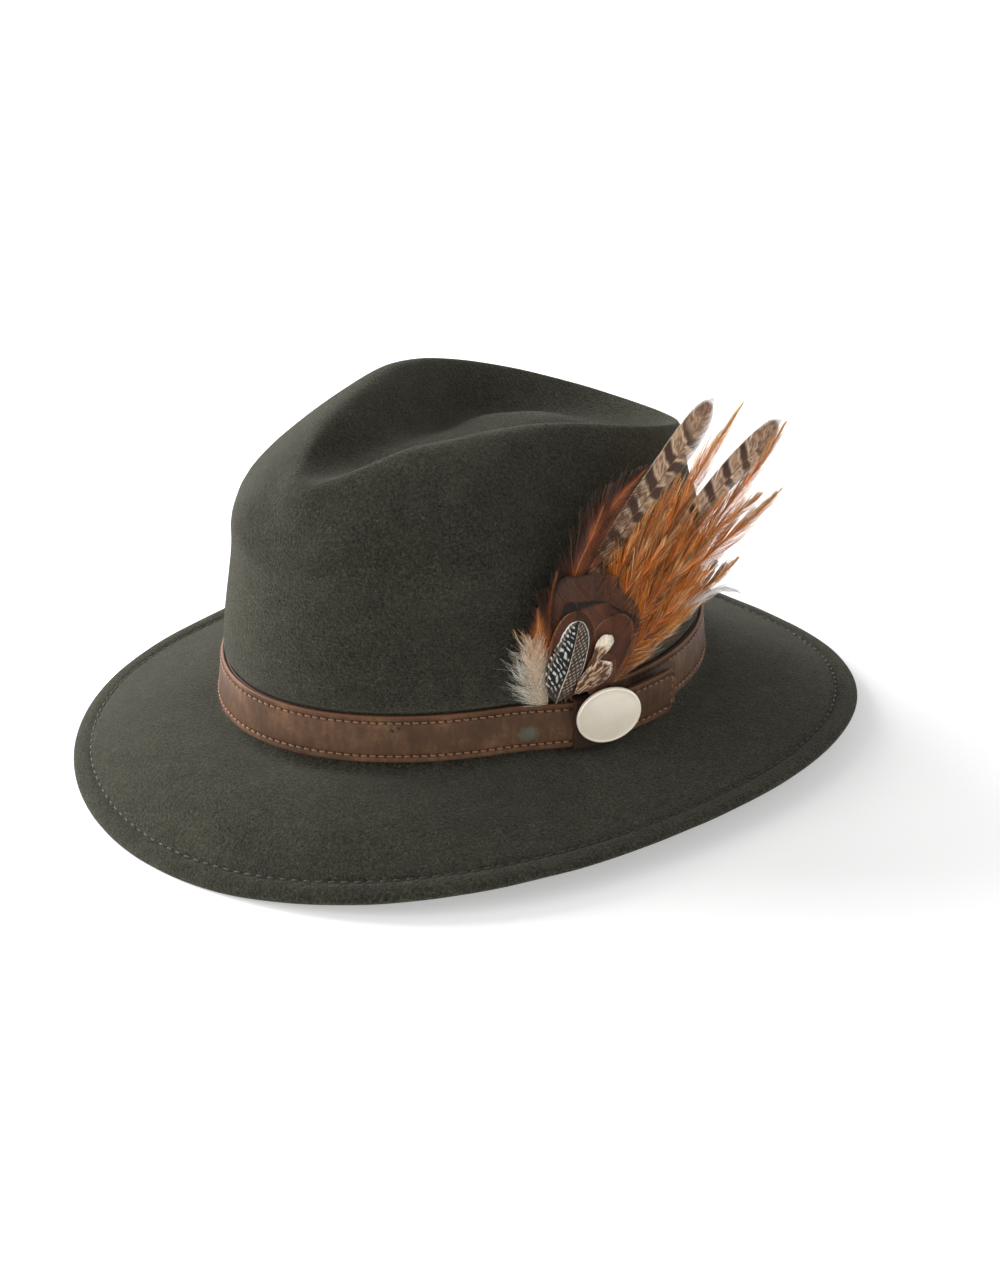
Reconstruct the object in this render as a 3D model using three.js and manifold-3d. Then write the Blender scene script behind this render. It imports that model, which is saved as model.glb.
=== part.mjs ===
// Fedora hat: welt-edged felt body, stitched leather strap band with keeper and
// round medallion, feather mount tucked behind the band, and inner sweatband.
// Millimetres. The hat is shaped in its own level frame (front -Y, wearer's left
// +X, z = 0 where crown meets brim) and then set down in its resting pose, with
// the origin on the surface it stands on, under the middle of its outline.
import * as THREE from 'three';
import Module from 'manifold-3d';
import { mergeVertices } from 'three/addons/utils/BufferGeometryUtils.js';

const wasm = await Module();
wasm.setup();

// ---------------------------------------------------------------- dimensions
const RAD = Math.PI / 180;

// plan oval of the band's outer face, and the point the crown rings run round
const OVAL_A = 108.26, OVAL_B = 85.71, OVAL_EGG = 0.072, CROWN_CY = 22.0;

// felt
const FELT_T = 2.3;                    // one thickness of felt
const NT = 60;                         // sections round the hat
const BRIM_W = [58.22, -2.98, 1.20, -0.73, -2.75];          // width, cosine terms
const BRIM_Z = [-19.67, -6.37, -5.40, 0.11, -1.42, 0.19];   // edge level
const BRIM_S = [0.4366, 0.2440, 0.1815, 0.0018];            // edge droop, radians
const WELT_W = 9.25;                   // edge to stitch line

// crown rings: ridge radius and level, crease radius and level, wall inset
const KNOTS = [0, 12, 25, 40, 60, 90, 120, 150, 180].map((v) => v * RAD);
const RIDGE_R = [102.86, 81.93, 63.46, 51.41, 46.03, 47.82, 59.13, 73.79, 85.89];
const RIDGE_Z = [98.48, 107.72, 112.76, 114.47, 115.19, 111.42, 102.98, 91.49, 82.87];
const CREASE_R = [55.35, 43.89, 34.37, 27.85, 25.95, 28.47, 34.78, 42.69, 54.61];
const CREASE_Z = [104.65, 101.9, 99.09, 96.45, 93.42, 91.18, 89.33, 87.45, 86.86];
const WALL_IN = [8.5, 8.3, 7.6, 6.2, 4.6, 3.8, 4.6, 4.6, 1.5];
const SHOULDER = [-0.13, -0.13, -0.05, -0.05, 0.25, 0.25, 0.25, 0.25, 0.25];
const DOME_Z = 101.33;                 // top of the swell inside the crease

// band
const BAND_Z = 4.25, BAND_H = 18.6, BAND_TAPER = 1.6;
const LEATHER_T = 1.4, BACKING_T = 0.8, GAP = 0.3;
const BAND_T = LEATHER_T + GAP + BACKING_T;
const TAIL_END = 107, UNDER_START = 89.8;                   // degrees round the oval
const LIFT_FROM = 64, LIFT_FULL = 86, LIFT_LOW = 5.0, LIFT_TOP = 7.0, TAIL_DROP = 1.5;
const KEEPER_FROM = 78.5, KEEPER_TO = 90.5, KEEPER_T = 1.2;
const ROW_IN = 2.6;                    // stitch row to strap edge
const THREAD = 0.6;

// medallion
const MED_R = 13.0, MED_T = 1.8, MED_C = [97.4, -13.75, 17.35];
const MED_AZ = 64, MED_TILT = -13;     // facing: from the front towards +X, and up
const MED_N = new THREE.Vector3(
  Math.cos(MED_TILT * RAD) * Math.sin(MED_AZ * RAD),
  -Math.cos(MED_TILT * RAD) * Math.cos(MED_AZ * RAD),
  Math.sin(MED_TILT * RAD));
const STUD_R = 1.9, STUD_HOLE_R = 2.4;

// feather mount plane: origin at the strap's top edge, s back, h up, d outward
const FO = new THREE.Vector3(82.70, -13.89, 23.0);
const FS = new THREE.Vector3(0.157739, 0.987481, 0).normalize();
const FH = new THREE.Vector3(-0.017234, 0.002753, 0.999848).normalize();
const FD = new THREE.Vector3().crossVectors(FS, FH).normalize();
const FAN_BEND = 700;                  // the fan leans in by s*s/FAN_BEND
const FEATHER_T = 0.3, FEATHER_PITCH = 0.62;

// ------------------------------------------------------------------- helpers
const cosSeries = (c, t) => c.reduce((s, v, k) => s + v * Math.cos(k * t), 0);
const smooth = (x) => { const t = Math.min(1, Math.max(0, x)); return t * t * (3 - 2 * t); };
const mix = (a, b, t) => a + (b - a) * t;

// even, periodic cubic spline through values at KNOTS (zero slope at both ends)
function evenSpline(vals) {
  const n = vals.length, m = new Array(n).fill(0), a = [], b = [], c = [], d = [];
  for (let i = 0; i < n; i++) {
    const h0 = i > 0 ? KNOTS[i] - KNOTS[i - 1] : 0, h1 = i < n - 1 ? KNOTS[i + 1] - KNOTS[i] : 0;
    if (i === 0) { a[i] = 0; b[i] = 2 * h1; c[i] = h1; d[i] = 6 * (vals[1] - vals[0]) / h1; }
    else if (i === n - 1) { a[i] = h0; b[i] = 2 * h0; c[i] = 0; d[i] = -6 * (vals[i] - vals[i - 1]) / h0; }
    else {
      a[i] = h0; b[i] = 2 * (h0 + h1); c[i] = h1;
      d[i] = 6 * ((vals[i + 1] - vals[i]) / h1 - (vals[i] - vals[i - 1]) / h0);
    }
  }
  for (let i = 1; i < n; i++) { const w = a[i] / b[i - 1]; b[i] -= w * c[i - 1]; d[i] -= w * d[i - 1]; }
  m[n - 1] = d[n - 1] / b[n - 1];
  for (let i = n - 2; i >= 0; i--) m[i] = (d[i] - c[i] * m[i + 1]) / b[i];
  return (t0) => {
    let t = Math.abs(((t0 + Math.PI) % (2 * Math.PI) + 2 * Math.PI) % (2 * Math.PI) - Math.PI);
    let i = 0;
    while (i < n - 2 && t > KNOTS[i + 1]) i++;
    const h = KNOTS[i + 1] - KNOTS[i], A = (KNOTS[i + 1] - t) / h, B = (t - KNOTS[i]) / h;
    return A * vals[i] + B * vals[i + 1] + ((A * A * A - A) * m[i] + (B * B * B - B) * m[i + 1]) * h * h / 6;
  };
}
const ridgeR = evenSpline(RIDGE_R), ridgeZ = evenSpline(RIDGE_Z), creaseR = evenSpline(CREASE_R);
const creaseZ = evenSpline(CREASE_Z), wallIn = evenSpline(WALL_IN), shoulder = evenSpline(SHOULDER);

// clamped uniform cubic B-spline through control points [r, z]
function bspline(ctrl, t) {
  const m = ctrl.length, p = 3, kn = [];
  for (let i = 0; i < m + p + 1; i++) kn.push(i <= p ? 0 : i >= m ? 1 : (i - p) / (m - p));
  let k = p;
  while (k < m - 1 && t >= kn[k + 1]) k++;
  const d = [];
  for (let j = 0; j <= p; j++) d.push(ctrl[k - p + j].slice());
  for (let r = 1; r <= p; r++) for (let j = p; j >= r; j--) {
    const i = k - p + j, w = (t - kn[i]) / (kn[i + p - r + 1] - kn[i]);
    for (let c = 0; c < 2; c++) d[j][c] = (1 - w) * d[j - 1][c] + w * d[j][c];
  }
  return d[p];
}

// point and outward normal of the plan oval at T (0 front, 90 wearer's left)
function oval(T) {
  const c = Math.cos(T), s = Math.sin(T);
  const x = OVAL_B * s * (1 - OVAL_EGG * c), y = -OVAL_A * c;
  const tx = OVAL_B * c * (1 - OVAL_EGG * c) + OVAL_B * OVAL_EGG * s * s, ty = OVAL_A * s;
  const L = Math.hypot(tx, ty);
  return { x, y, nx: ty / L, ny: -tx / L };
}
const at = (T, u, z) => { const o = oval(T); return new THREE.Vector3(o.x + o.nx * u, o.y + o.ny * u, z); };

// the felt is drawn in under the band, except where the feather mount lies
function waist(T) {
  const d = ((T / RAD) % 360 + 360) % 360;
  return d > 60 && d < 100 ? 1 - smooth((d - 66) / 6) * (1 - smooth((d - 86) / 3.8)) : 1;
}

// solid from rings of points; first/last rings capped by a fan unless closed
function loft(rings, closed) {
  const n = rings.length, m = rings[0].length, v = [], f = [];
  rings.forEach((r) => r.forEach((p) => v.push(p.x, p.y, p.z)));
  const id = (i, j) => (i % n) * m + (j % m);
  for (let i = 0; i < (closed ? n : n - 1); i++) for (let j = 0; j < m; j++) {
    f.push(id(i, j), id(i + 1, j), id(i + 1, j + 1), id(i, j), id(i + 1, j + 1), id(i, j + 1));
  }
  if (!closed) for (let j = 1; j < m - 1; j++) {
    f.push(id(0, 0), id(0, j), id(0, j + 1));
    f.push(id(n - 1, 0), id(n - 1, j + 1), id(n - 1, j));
  }
  return body(v, f);
}
function body(v, f) {
  let vol = 0;
  for (let i = 0; i < f.length; i += 3) {
    const a = f[i] * 3, b = f[i + 1] * 3, c = f[i + 2] * 3;
    vol += v[a] * (v[b + 1] * v[c + 2] - v[b + 2] * v[c + 1])
      - v[a + 1] * (v[b] * v[c + 2] - v[b + 2] * v[c])
      + v[a + 2] * (v[b] * v[c + 1] - v[b + 1] * v[c]);
  }
  if (vol < 0) for (let i = 0; i < f.length; i += 3) { const t = f[i + 1]; f[i + 1] = f[i + 2]; f[i + 2] = t; }
  const g = new THREE.BufferGeometry();
  g.setAttribute('position', new THREE.Float32BufferAttribute(v, 3));
  g.setIndex(f);
  return g;
}
function toSolid(g0) {
  let g = g0.clone();
  g.deleteAttribute('normal'); g.deleteAttribute('uv');
  g = mergeVertices(g, 1e-4);
  return new wasm.Manifold(new wasm.Mesh({
    numProp: 3, vertProperties: new Float32Array(g.attributes.position.array), triVerts: new Uint32Array(g.index.array),
  }));
}
function fromSolid(s) {
  const m = s.getMesh(), g = new THREE.BufferGeometry();
  g.setAttribute('position', new THREE.Float32BufferAttribute(m.vertProperties, 3));
  g.setIndex(Array.from(m.triVerts));
  return g;
}

// ---------------------------------------------------------------- felt body
// outer profile from the crown's middle down to the stitch line of the welt
function crownPoint(T, t) {
  const o = oval(T), ang = Math.atan2(o.x, -(o.y - CROWN_CY)), RB = Math.hypot(o.x, o.y - CROWN_CY);
  const rc = ridgeR(ang), zc = ridgeZ(ang), rv = creaseR(ang), zv = creaseZ(ang), wi = wallIn(ang), f1 = shoulder(ang);
  const rw = RB - wi, top = zc * 1.02 + 3.15;
  const ctrl = [
    [RB - 2.8, 25], [RB - 2.6, 33], [RB - 2.4 - 0.45 * (wi - 2.4), 50], [rw, 72],
    [rw + (rc - rw) * f1, zc * 0.75], [rw + (rc - rw) * 0.80, top], [rc * 0.97, top - 0.1 * (zc - zv)],
    [rc + (rv - rc) * 0.55, zv + (zc - zv) * 0.45], [rv, zv - 1.0],
    [rv * 0.62, zv + (DOME_Z - zv) * 0.75], [rv * 0.25, DOME_Z], [0, DOME_Z]];
  const [r, z] = bspline(ctrl, t);
  return new THREE.Vector3(r * Math.sin(ang), CROWN_CY - r * Math.cos(ang), z);
}
const CROWN_T = [0.965, 0.90, 0.83, 0.76, 0.69, 0.63, 0.58, 0.53, 0.48, 0.42, 0.36, 0.29, 0.21, 0.12, 0.05, 0];
// brim section in (u, z): from beside the band to the welt's stitch line
function brimSection(T) {
  const w = cosSeries(BRIM_W, T), ze = cosSeries(BRIM_Z, T), s = cosSeries(BRIM_S, T);
  const u1 = w - WELT_W * Math.cos(s), z1 = ze + WELT_W * Math.sin(s), u0 = 1.2, z0 = -0.2;
  const m1 = -Math.tan(s), m0 = 2 * (z1 - z0) / (u1 - u0) - m1;
  const rowAt = (f) => {
    const h = u1 - u0, f2 = f * f, f3 = f2 * f;
    return [u0 + h * f, z0 * (2 * f3 - 3 * f2 + 1) + m0 * h * (f3 - 2 * f2 + f) + z1 * (3 * f2 - 2 * f3) + m1 * h * (f3 - f2)];
  };
  return { w, ze, s, rowAt };
}
// welt section about the edge: distance in from the edge, height
const WELT_TOP = [[6.3, 1.0], [3.4, 1.45], [1.1, 1.15], [0, -0.2], [1.0, -1.75], [3.4, -2.5], [6.3, -2.95]];
const WELT_END = [[9.25, -3.3], [11.0, -3.5], [11.3, -2.45]];
function weltPoint(T, sec, d, h) {
  return at(T, sec.w - d * Math.cos(sec.s) + h * Math.sin(sec.s), sec.ze + d * Math.sin(sec.s) + h * Math.cos(sec.s));
}
function feltSurface(off) {
  // rows of outer points (crown middle first), each row NT long
  const rows = [];
  const T = (j) => j * 2 * Math.PI / NT;
  CROWN_T.forEach((t) => rows.push([...Array(NT)].map((_, j) => crownPoint(T(j), t))));
  [[22.3, 1], [13.5, 0.55], [4.2, 0]].forEach(([z, k]) => rows.push([...Array(NT)].map((_, j) => at(T(j), -3.0 - 1.65 * k * waist(T(j)), z))));
  [[-2.6, 2.4], [-1.4, 0.95]].forEach(([u, z]) => rows.push([...Array(NT)].map((_, j) => at(T(j), u, z))));
  [0, 0.2, 0.45, 0.72, 1].forEach((f) => rows.push([...Array(NT)].map((_, j) => { const p = brimSection(T(j)).rowAt(f); return at(T(j), p[0], p[1]); })));
  return rows;
}
function feltGeometry() {
  const outer = feltSurface();
  const n = outer.length;
  const normal = (i, j) => {
    const a = outer[Math.max(0, i - 1)][j], b = outer[Math.min(n - 1, i + 1)][j];
    const c = outer[i][(j + NT - 1) % NT], d = outer[i][(j + 1) % NT];
    return new THREE.Vector3().crossVectors(new THREE.Vector3().subVectors(d, c), new THREE.Vector3().subVectors(a, b)).normalize();
  };
  const apex = new THREE.Vector3(0, CROWN_CY, DOME_Z + 0.05);
  const T = (j) => j * 2 * Math.PI / NT;
  const rows = outer.map((r) => r.slice());
  const secs = [...Array(NT)].map((_, j) => brimSection(T(j)));
  WELT_TOP.concat(WELT_END).forEach(([d, h]) => rows.push(secs.map((s, j) => weltPoint(T(j), s, d, h))));
  const inner = [];
  for (let i = n - 1; i >= 0; i--) {
    if (i === n - 1) continue;          // the welt's end replaces the last underside row
    inner.push(outer[i].map((p, j) => {
      const nn = normal(i, j);
      return p.clone().addScaledVector(nn, -FELT_T);
    }));
  }
  inner.forEach((r) => rows.push(r));
  const v = [], f = [];
  rows.forEach((r) => r.forEach((p) => v.push(p.x, p.y, p.z)));
  const m = rows.length;
  for (let i = 0; i < m - 1; i++) for (let j = 0; j < NT; j++) {
    const k = (j + 1) % NT, a = i * NT + j, b = i * NT + k, c = (i + 1) * NT + k, d = (i + 1) * NT + j;
    f.push(a, d, c, a, c, b);
  }
  const top = v.length / 3; v.push(apex.x, apex.y, apex.z);
  const bot = top + 1; v.push(apex.x, apex.y, apex.z - FELT_T);
  for (let j = 0; j < NT; j++) {
    const k = (j + 1) % NT;
    f.push(top, j, k);
    f.push(bot, (m - 1) * NT + k, (m - 1) * NT + j);
  }
  return body(v, f);
}

// ------------------------------------------------------- setting it down
const felt0 = feltGeometry();
let PITCH = 0, LIFT = 0, SHIFT = 0;
{
  const p = felt0.attributes.position;
  const low = (a) => {
    let f = 1e9, b = 1e9;
    for (let i = 0; i < p.count; i++) {
      const y = p.getY(i), z = y * Math.sin(a) + p.getZ(i) * Math.cos(a);
      if (y < 0) f = Math.min(f, z); else b = Math.min(b, z);
    }
    return [f, b];
  };
  let lo = -0.2, hi = 0.2;              // a > 0 lifts the back
  for (let k = 0; k < 60; k++) {
    const mid = (lo + hi) / 2, [f, b] = low(mid);
    if (f < b) hi = mid; else lo = mid;
  }
  PITCH = (lo + hi) / 2;
  LIFT = -low(PITCH)[0];
}
const FLAT = 0.4;                       // felt pressed flat where the brim rests
const place = new THREE.Matrix4();
{
  const rot = new THREE.Matrix4().makeRotationX(PITCH);
  const p = felt0.attributes.position, q = new THREE.Vector3();
  let lo = 1e9, hi = -1e9;
  for (let i = 0; i < p.count; i++) { q.fromBufferAttribute(p, i).applyMatrix4(rot); lo = Math.min(lo, q.y); hi = Math.max(hi, q.y); }
  SHIFT = -(lo + hi) / 2;
  place.makeTranslation(0, SHIFT, LIFT - FLAT).multiply(rot);
}
export const restPose = { PITCH, LIFT: LIFT - FLAT, SHIFT };

const hat = new THREE.Group();
hat.name = 'fedora_hat';
const MAT = {
  felt: [0x34342b, 0.95, 0], leather: [0x6b4a38, 0.6, 0], backing: [0x4a3226, 0.8, 0], thread: [0x9a6a48, 0.8, 0],
  feltthread: [0x2c2c24, 0.9, 0], gold: [0xd9cbb6, 0.25, 1], sweat: [0x2b211b, 0.75, 0], pad: [0x2a2118, 0.95, 0],
  label: [0x1d1d1d, 0.8, 0], barred: [0x8a6a4a, 0.8, 0], ginger: [0xa65a22, 0.8, 0], dark: [0x3a2418, 0.8, 0],
  cream: [0xd8c4a8, 0.85, 0], spotted: [0x2b2723, 0.8, 0], grey: [0xb8b4ac, 0.85, 0],
};
function add(name, g, mat) {
  const [color, roughness, metalness] = MAT[mat];
  const geo = g.clone();
  geo.applyMatrix4(place);
  geo.computeVertexNormals();
  const mesh = new THREE.Mesh(geo, new THREE.MeshStandardMaterial({ color, roughness, metalness }));
  mesh.name = name;
  hat.add(mesh);
  return mesh;
}

// felt, pressed flat on the two places where the brim touches the surface
{
  const g = felt0.clone();
  g.applyMatrix4(place);
  const slab = new THREE.BoxGeometry(500, 500, 20);
  slab.translate(0, 0, -10);
  const cut = fromSolid(toSolid(g).subtract(toSolid(slab)));
  cut.computeVertexNormals();
  const [color, roughness, metalness] = MAT.felt;
  const mesh = new THREE.Mesh(cut, new THREE.MeshStandardMaterial({ color, roughness, metalness }));
  mesh.name = 'felt_body';
  hat.add(mesh);
}

// ----------------------------------------------------------- brim stitching
// a thread ring of four-sided section, centred on a point function of T
function threadRing(center, steps, r) {
  const rings = [];
  for (let i = 0; i < steps; i++) {
    const T = i * 2 * Math.PI / steps, c = center(T), o = oval(T), n = new THREE.Vector3(o.nx, o.ny, 0);
    rings.push([[r, 0], [0, r], [-r, 0], [0, -r]].map(([a, b]) => c.clone().addScaledVector(n, a).add(new THREE.Vector3(0, 0, b))));
  }
  return loft(rings, true);
}
const weltAt = (d, h) => (T) => weltPoint(T, brimSection(T), d, h);
add('brim_stitch_top', threadRing(weltAt(9.25, 0.75), NT, 0.35), 'feltthread');
add('brim_stitch_under', threadRing(weltAt(9.25, -4.1), NT, 0.35), 'feltthread');

// --------------------------------------------------------------------- band
// strap position A runs from the tail end (107) down, once round, and under
const liftAt = (A) => smooth((A - LIFT_FROM) / (LIFT_FULL - LIFT_FROM));
function strapPoint(A, inset, v) {       // inset from the outer face, v: 0 bottom .. 1 top
  const L = liftAt(A), u = mix(LIFT_LOW * L, LIFT_TOP * L - BAND_TAPER, v) - inset;
  return at(A * RAD, u, BAND_Z - TAIL_DROP * L + BAND_H * v);
}
function strapStations(from, to) {
  const s = [from];
  for (let A = Math.floor((from - 0.5) / 6) * 6; A > to + 0.5; A -= 6) {
    s.push(A);
    if (A > 66 && A <= 102) s.push(A - 3);
  }
  s.push(to);
  return s.filter((a, i) => i === 0 || s[i - 1] - a > 0.4);
}
function strapLayer(from, to, in0, in1, edge) {
  const rings = strapStations(from, to).map((A) => {
    const e = edge / BAND_H;
    return [[in1, 0], [in0 + 0.35, 0], [in0, e], [in0, 1 - e], [in0 + 0.35, 1], [in1, 1]].map(([i, v]) => strapPoint(A, i, v));
  });
  return loft(rings, false);
}
const UNDER_END = UNDER_START - 360;
const bore = new THREE.CylinderGeometry(STUD_HOLE_R, STUD_HOLE_R, 34, 20);
const medQ = new THREE.Quaternion().setFromUnitVectors(new THREE.Vector3(0, 1, 0), MED_N);
const medC = new THREE.Vector3(...MED_C);
bore.applyQuaternion(medQ);
bore.translate(...medC.clone().addScaledVector(MED_N, -8).toArray());
const boreSolid = toSolid(bore);
const drilled = (g) => fromSolid(toSolid(g).subtract(boreSolid));

add('hatband_leather', drilled(strapLayer(TAIL_END, UNDER_END, 0, LEATHER_T, 0.5)), 'leather');
add('hatband_backing', drilled(strapLayer(TAIL_END - 0.3, UNDER_END + 0.3, LEATHER_T + GAP, BAND_T, 0.01)), 'backing');

function threadRow(from, to, vmm) {
  const v = vmm / BAND_H, r = THREAD / 2;
  const rings = strapStations(from, to).map((A) => [[-0.3, -r], [-0.3 - THREAD, -r], [-0.3 - THREAD, r], [-0.3, r]]
    .map(([i, dz]) => strapPoint(A, i, v + dz / BAND_H)));
  return loft(rings, false);
}
add('hatband_stitch_upper_tail', threadRow(TAIL_END - 1.2, KEEPER_TO + 0.5, BAND_H - ROW_IN), 'thread');
add('hatband_stitch_lower_tail', threadRow(TAIL_END - 1.2, KEEPER_TO + 0.5, ROW_IN), 'thread');
add('hatband_stitch_upper', threadRow(KEEPER_FROM - 0.5, TAIL_END - 359, BAND_H - ROW_IN), 'thread');
add('hatband_stitch_lower', threadRow(KEEPER_FROM - 0.5, TAIL_END - 359, ROW_IN), 'thread');
{ // row across the tail end, between the two long rows
  const r = THREAD / 2, A0 = TAIL_END - 2.0, dA = 0.2;
  const rings = [ROW_IN + 0.9, BAND_H / 2, BAND_H - ROW_IN - 0.9].map((h) => [[-0.3, -dA], [-0.3 - THREAD, -dA], [-0.3 - THREAD, dA], [-0.3, dA]]
    .map(([i, da]) => strapPoint(A0 + da, i, h / BAND_H)));
  add('hatband_stitch_tail_end', loft(rings, false), 'thread');
}
function tack(name, A, h) {
  const dA = 0.25, dh = 1.1;
  const rings = [A - dA, A + dA].map((a) => [[-0.3, -dh], [-0.9, -dh], [-0.9, dh], [-0.3, dh]].map(([i, d]) => strapPoint(a, i, (h + d) / BAND_H)));
  add(name, loft(rings, false), 'thread');
}
tack('hatband_tack_front', 38.9, 13.2);
tack('hatband_tack_side', 40.3, 13.9);

// keeper: a leather loop round the raised end of the strap
{
  const grow = 0.35, o = KEEPER_T, bk = 0.8;
  const station = (A) => {
    const g = grow / BAND_H, w = (grow + o) / BAND_H;
    return {
      out: [strapPoint(A, -grow - o, -w), strapPoint(A, -grow - o, 1 + w), strapPoint(A, BAND_T + grow + bk, 1 + w), strapPoint(A, BAND_T + grow + bk, -w)],
      in: [strapPoint(A, -grow, -g), strapPoint(A, -grow, 1 + g), strapPoint(A, BAND_T + grow, 1 + g), strapPoint(A, BAND_T + grow, -g)],
    };
  };
  const A = [KEEPER_FROM, 81.5, 84.5, 87.5, KEEPER_TO].map(station);
  const outer = toSolid(loft(A.map((s) => s.out), false));
  const wide = [KEEPER_FROM - 3, 81.5, 84.5, 87.5, KEEPER_TO + 3].map(station);
  wide[0] = station(KEEPER_FROM); wide[4] = station(KEEPER_TO);
  const push = (s, dA) => s.in.map((p, k) => { const q = station((dA < 0 ? KEEPER_FROM : KEEPER_TO) + dA).in[k]; return q; });
  const innerRings = [push(wide[0], -0.6), ...A.map((s) => s.in), push(wide[4], 0.6)];
  const inner = toSolid(loft(innerRings, false));
  add('keeper_loop', fromSolid(outer.subtract(inner).subtract(boreSolid)), 'leather');
}

// ---------------------------------------------------------------- medallion
{
  const R = MED_R, t = MED_T;
  const prof = [[0, -t - 1.6], [4.2, -t - 1.6], [4.5, -t - 1.3], [4.5, -t], [R - 0.5, -t], [R, -t + 0.5], [R, -0.35], [R - 0.35, 0],
    [R - 0.9, 0], [R - 1.1, -0.2], [0, -0.2]].map(([x, y]) => new THREE.Vector2(x, y));
  const g = new THREE.LatheGeometry(prof, 40);
  g.applyQuaternion(medQ); g.translate(...MED_C);
  add('medallion_disc', fromSolid(toSolid(g)), 'gold');
  // stud: head against the medallion's boss, shank down through keeper and strap
  const y0 = -t - 1.9;
  const stud = new THREE.LatheGeometry([[0, y0 - 6.4], [STUD_R, y0 - 6.4], [STUD_R, y0 - 0.4], [3.0, y0 - 0.4], [3.0, y0], [0, y0]]
    .map(([x, y]) => new THREE.Vector2(x, y)), 16);
  stud.applyQuaternion(medQ); stud.translate(...MED_C);
  add('medallion_stud', fromSolid(toSolid(stud)), 'gold');
}

// ------------------------------------------------------------ feather mount
const fan = (s, h, d) => FO.clone().addScaledVector(FS, s).addScaledVector(FH, h).addScaledVector(FD, d - s * s / FAN_BEND);
{ // backing pad, with the tongue that slips down behind the band
  const half = [[-19, 4], [-19.5, 14], [-15, 25], [-6, 31], [4, 31], [11, 25], [13, 14], [10, 4], [7.5, 0], [7.5, -17.5], [-7.5, -17.5], [-7.5, 0]];
  const shape = new THREE.Shape(half.map(([x, y]) => new THREE.Vector2(x, y)));
  const g = new THREE.ExtrudeGeometry(shape, { depth: 1.0, bevelEnabled: false, curveSegments: 1 });
  const p = g.attributes.position;
  for (let i = 0; i < p.count; i++) {
    const q = FO.clone().addScaledVector(FS, p.getX(i)).addScaledVector(FH, p.getY(i)).addScaledVector(FD, p.getZ(i) - 0.5);
    p.setXYZ(i, q.x, q.y, q.z);
  }
  add('feather_backing_pad', fromSolid(toSolid(g)), 'pad');
}
// name, centreline base -> middle -> tip (s, h), vane width, layer, material
const FEATHERS = [
  ['feather_pheasant_long', [-6, 3], [10, 55], [64.5, 105.5], 15, 1, 'barred', 0.35],
  ['feather_pheasant_short', [0, 3], [41, 47.5], [106.5, 84.5], 13, 2, 'barred', 0.45],
  ['feather_hackle_high', [-1.5, 3], [34, 54], [81, 99.5], 12, 3, 'ginger', 0.25],
  ['feather_hackle_far', [4, 3], [52, 48], [109, 84], 13, 4, 'ginger', 0.25],
  ['feather_hackle_mid', [5, 3], [45, 36], [93.5, 58.2], 12, 5, 'ginger', 0.22],
  ['feather_hackle_wide', [6, 3], [54, 40], [106, 57], 12, 6, 'ginger', 0.22],
  ['feather_hackle_low', [7, 3.5], [38, 23], [78.5, 36.2], 12, 7, 'ginger', 0.2],
  ['feather_hackle_grey', [7.5, 3.5], [37, 17], [78, 21.5], 5, 8, 'grey', 0.2],
  ['feather_hackle_edge', [8, 4], [30, 15], [55.5, 23.5], 9, 9, 'ginger', 0.2],
  ['feather_dark_high', [-10, 3], [-2, 48], [24, 86], 12, 10, 'dark', 0.2],
  ['feather_dark_mid', [-13, 3], [-13, 42], [3, 79], 12, 11, 'dark', 0.2],
  ['feather_dark_low', [-15.5, 3], [-19, 28], [-17, 51], 10, 12, 'dark', 0.18],
  ['feather_ginger_left', [-17.5, 3.5], [-25, 21], [-28, 40], 9, 13, 'ginger', 0.18],
  ['feather_fluff', [-18.5, 4], [-30, 12], [-34, 26], 14, 14, 'cream', 0.15],
  ['feather_body_upper', [-3, 4], [0, 30], [2.5, 52], 22, 15, 'dark', 0.15],
  ['feather_body_right', [1.5, 4], [9, 20], [20, 34], 18, 16, 'dark', 0.15],
  ['feather_body_left', [-9.5, 4], [-11, 24], [-9, 43], 20, 17, 'dark', 0.15],
  ['feather_guineafowl', [-14.5, 3.5], [-12, 18], [-8, 35], 16, 18, 'spotted', 0.12],
  ['feather_cream_upper', [-3.5, 7.5], [2, 16], [7, 25], 9, 19, 'cream', 0.15],
  ['feather_cream_lower', [-7, 6.5], [0, 9.5], [8, 14], 8, 20, 'cream', 0.15],
];
const VANE = [[0, 0.11], [0.12, 0.16], [0.19, 0.45], [0.28, 0.75], [0.4, 0.97], [0.53, 1], [0.65, 0.96], [0.76, 0.82], [0.86, 0.58], [0.94, 0.3], [1, 0.08]];
const VANE_ROUND = [[0, 0.1], [0.12, 0.13], [0.25, 0.35], [0.4, 0.62], [0.54, 0.78], [0.68, 0.9], [0.8, 0.98], [0.88, 1], [0.94, 0.88], [0.98, 0.58], [1, 0.3]];
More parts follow.
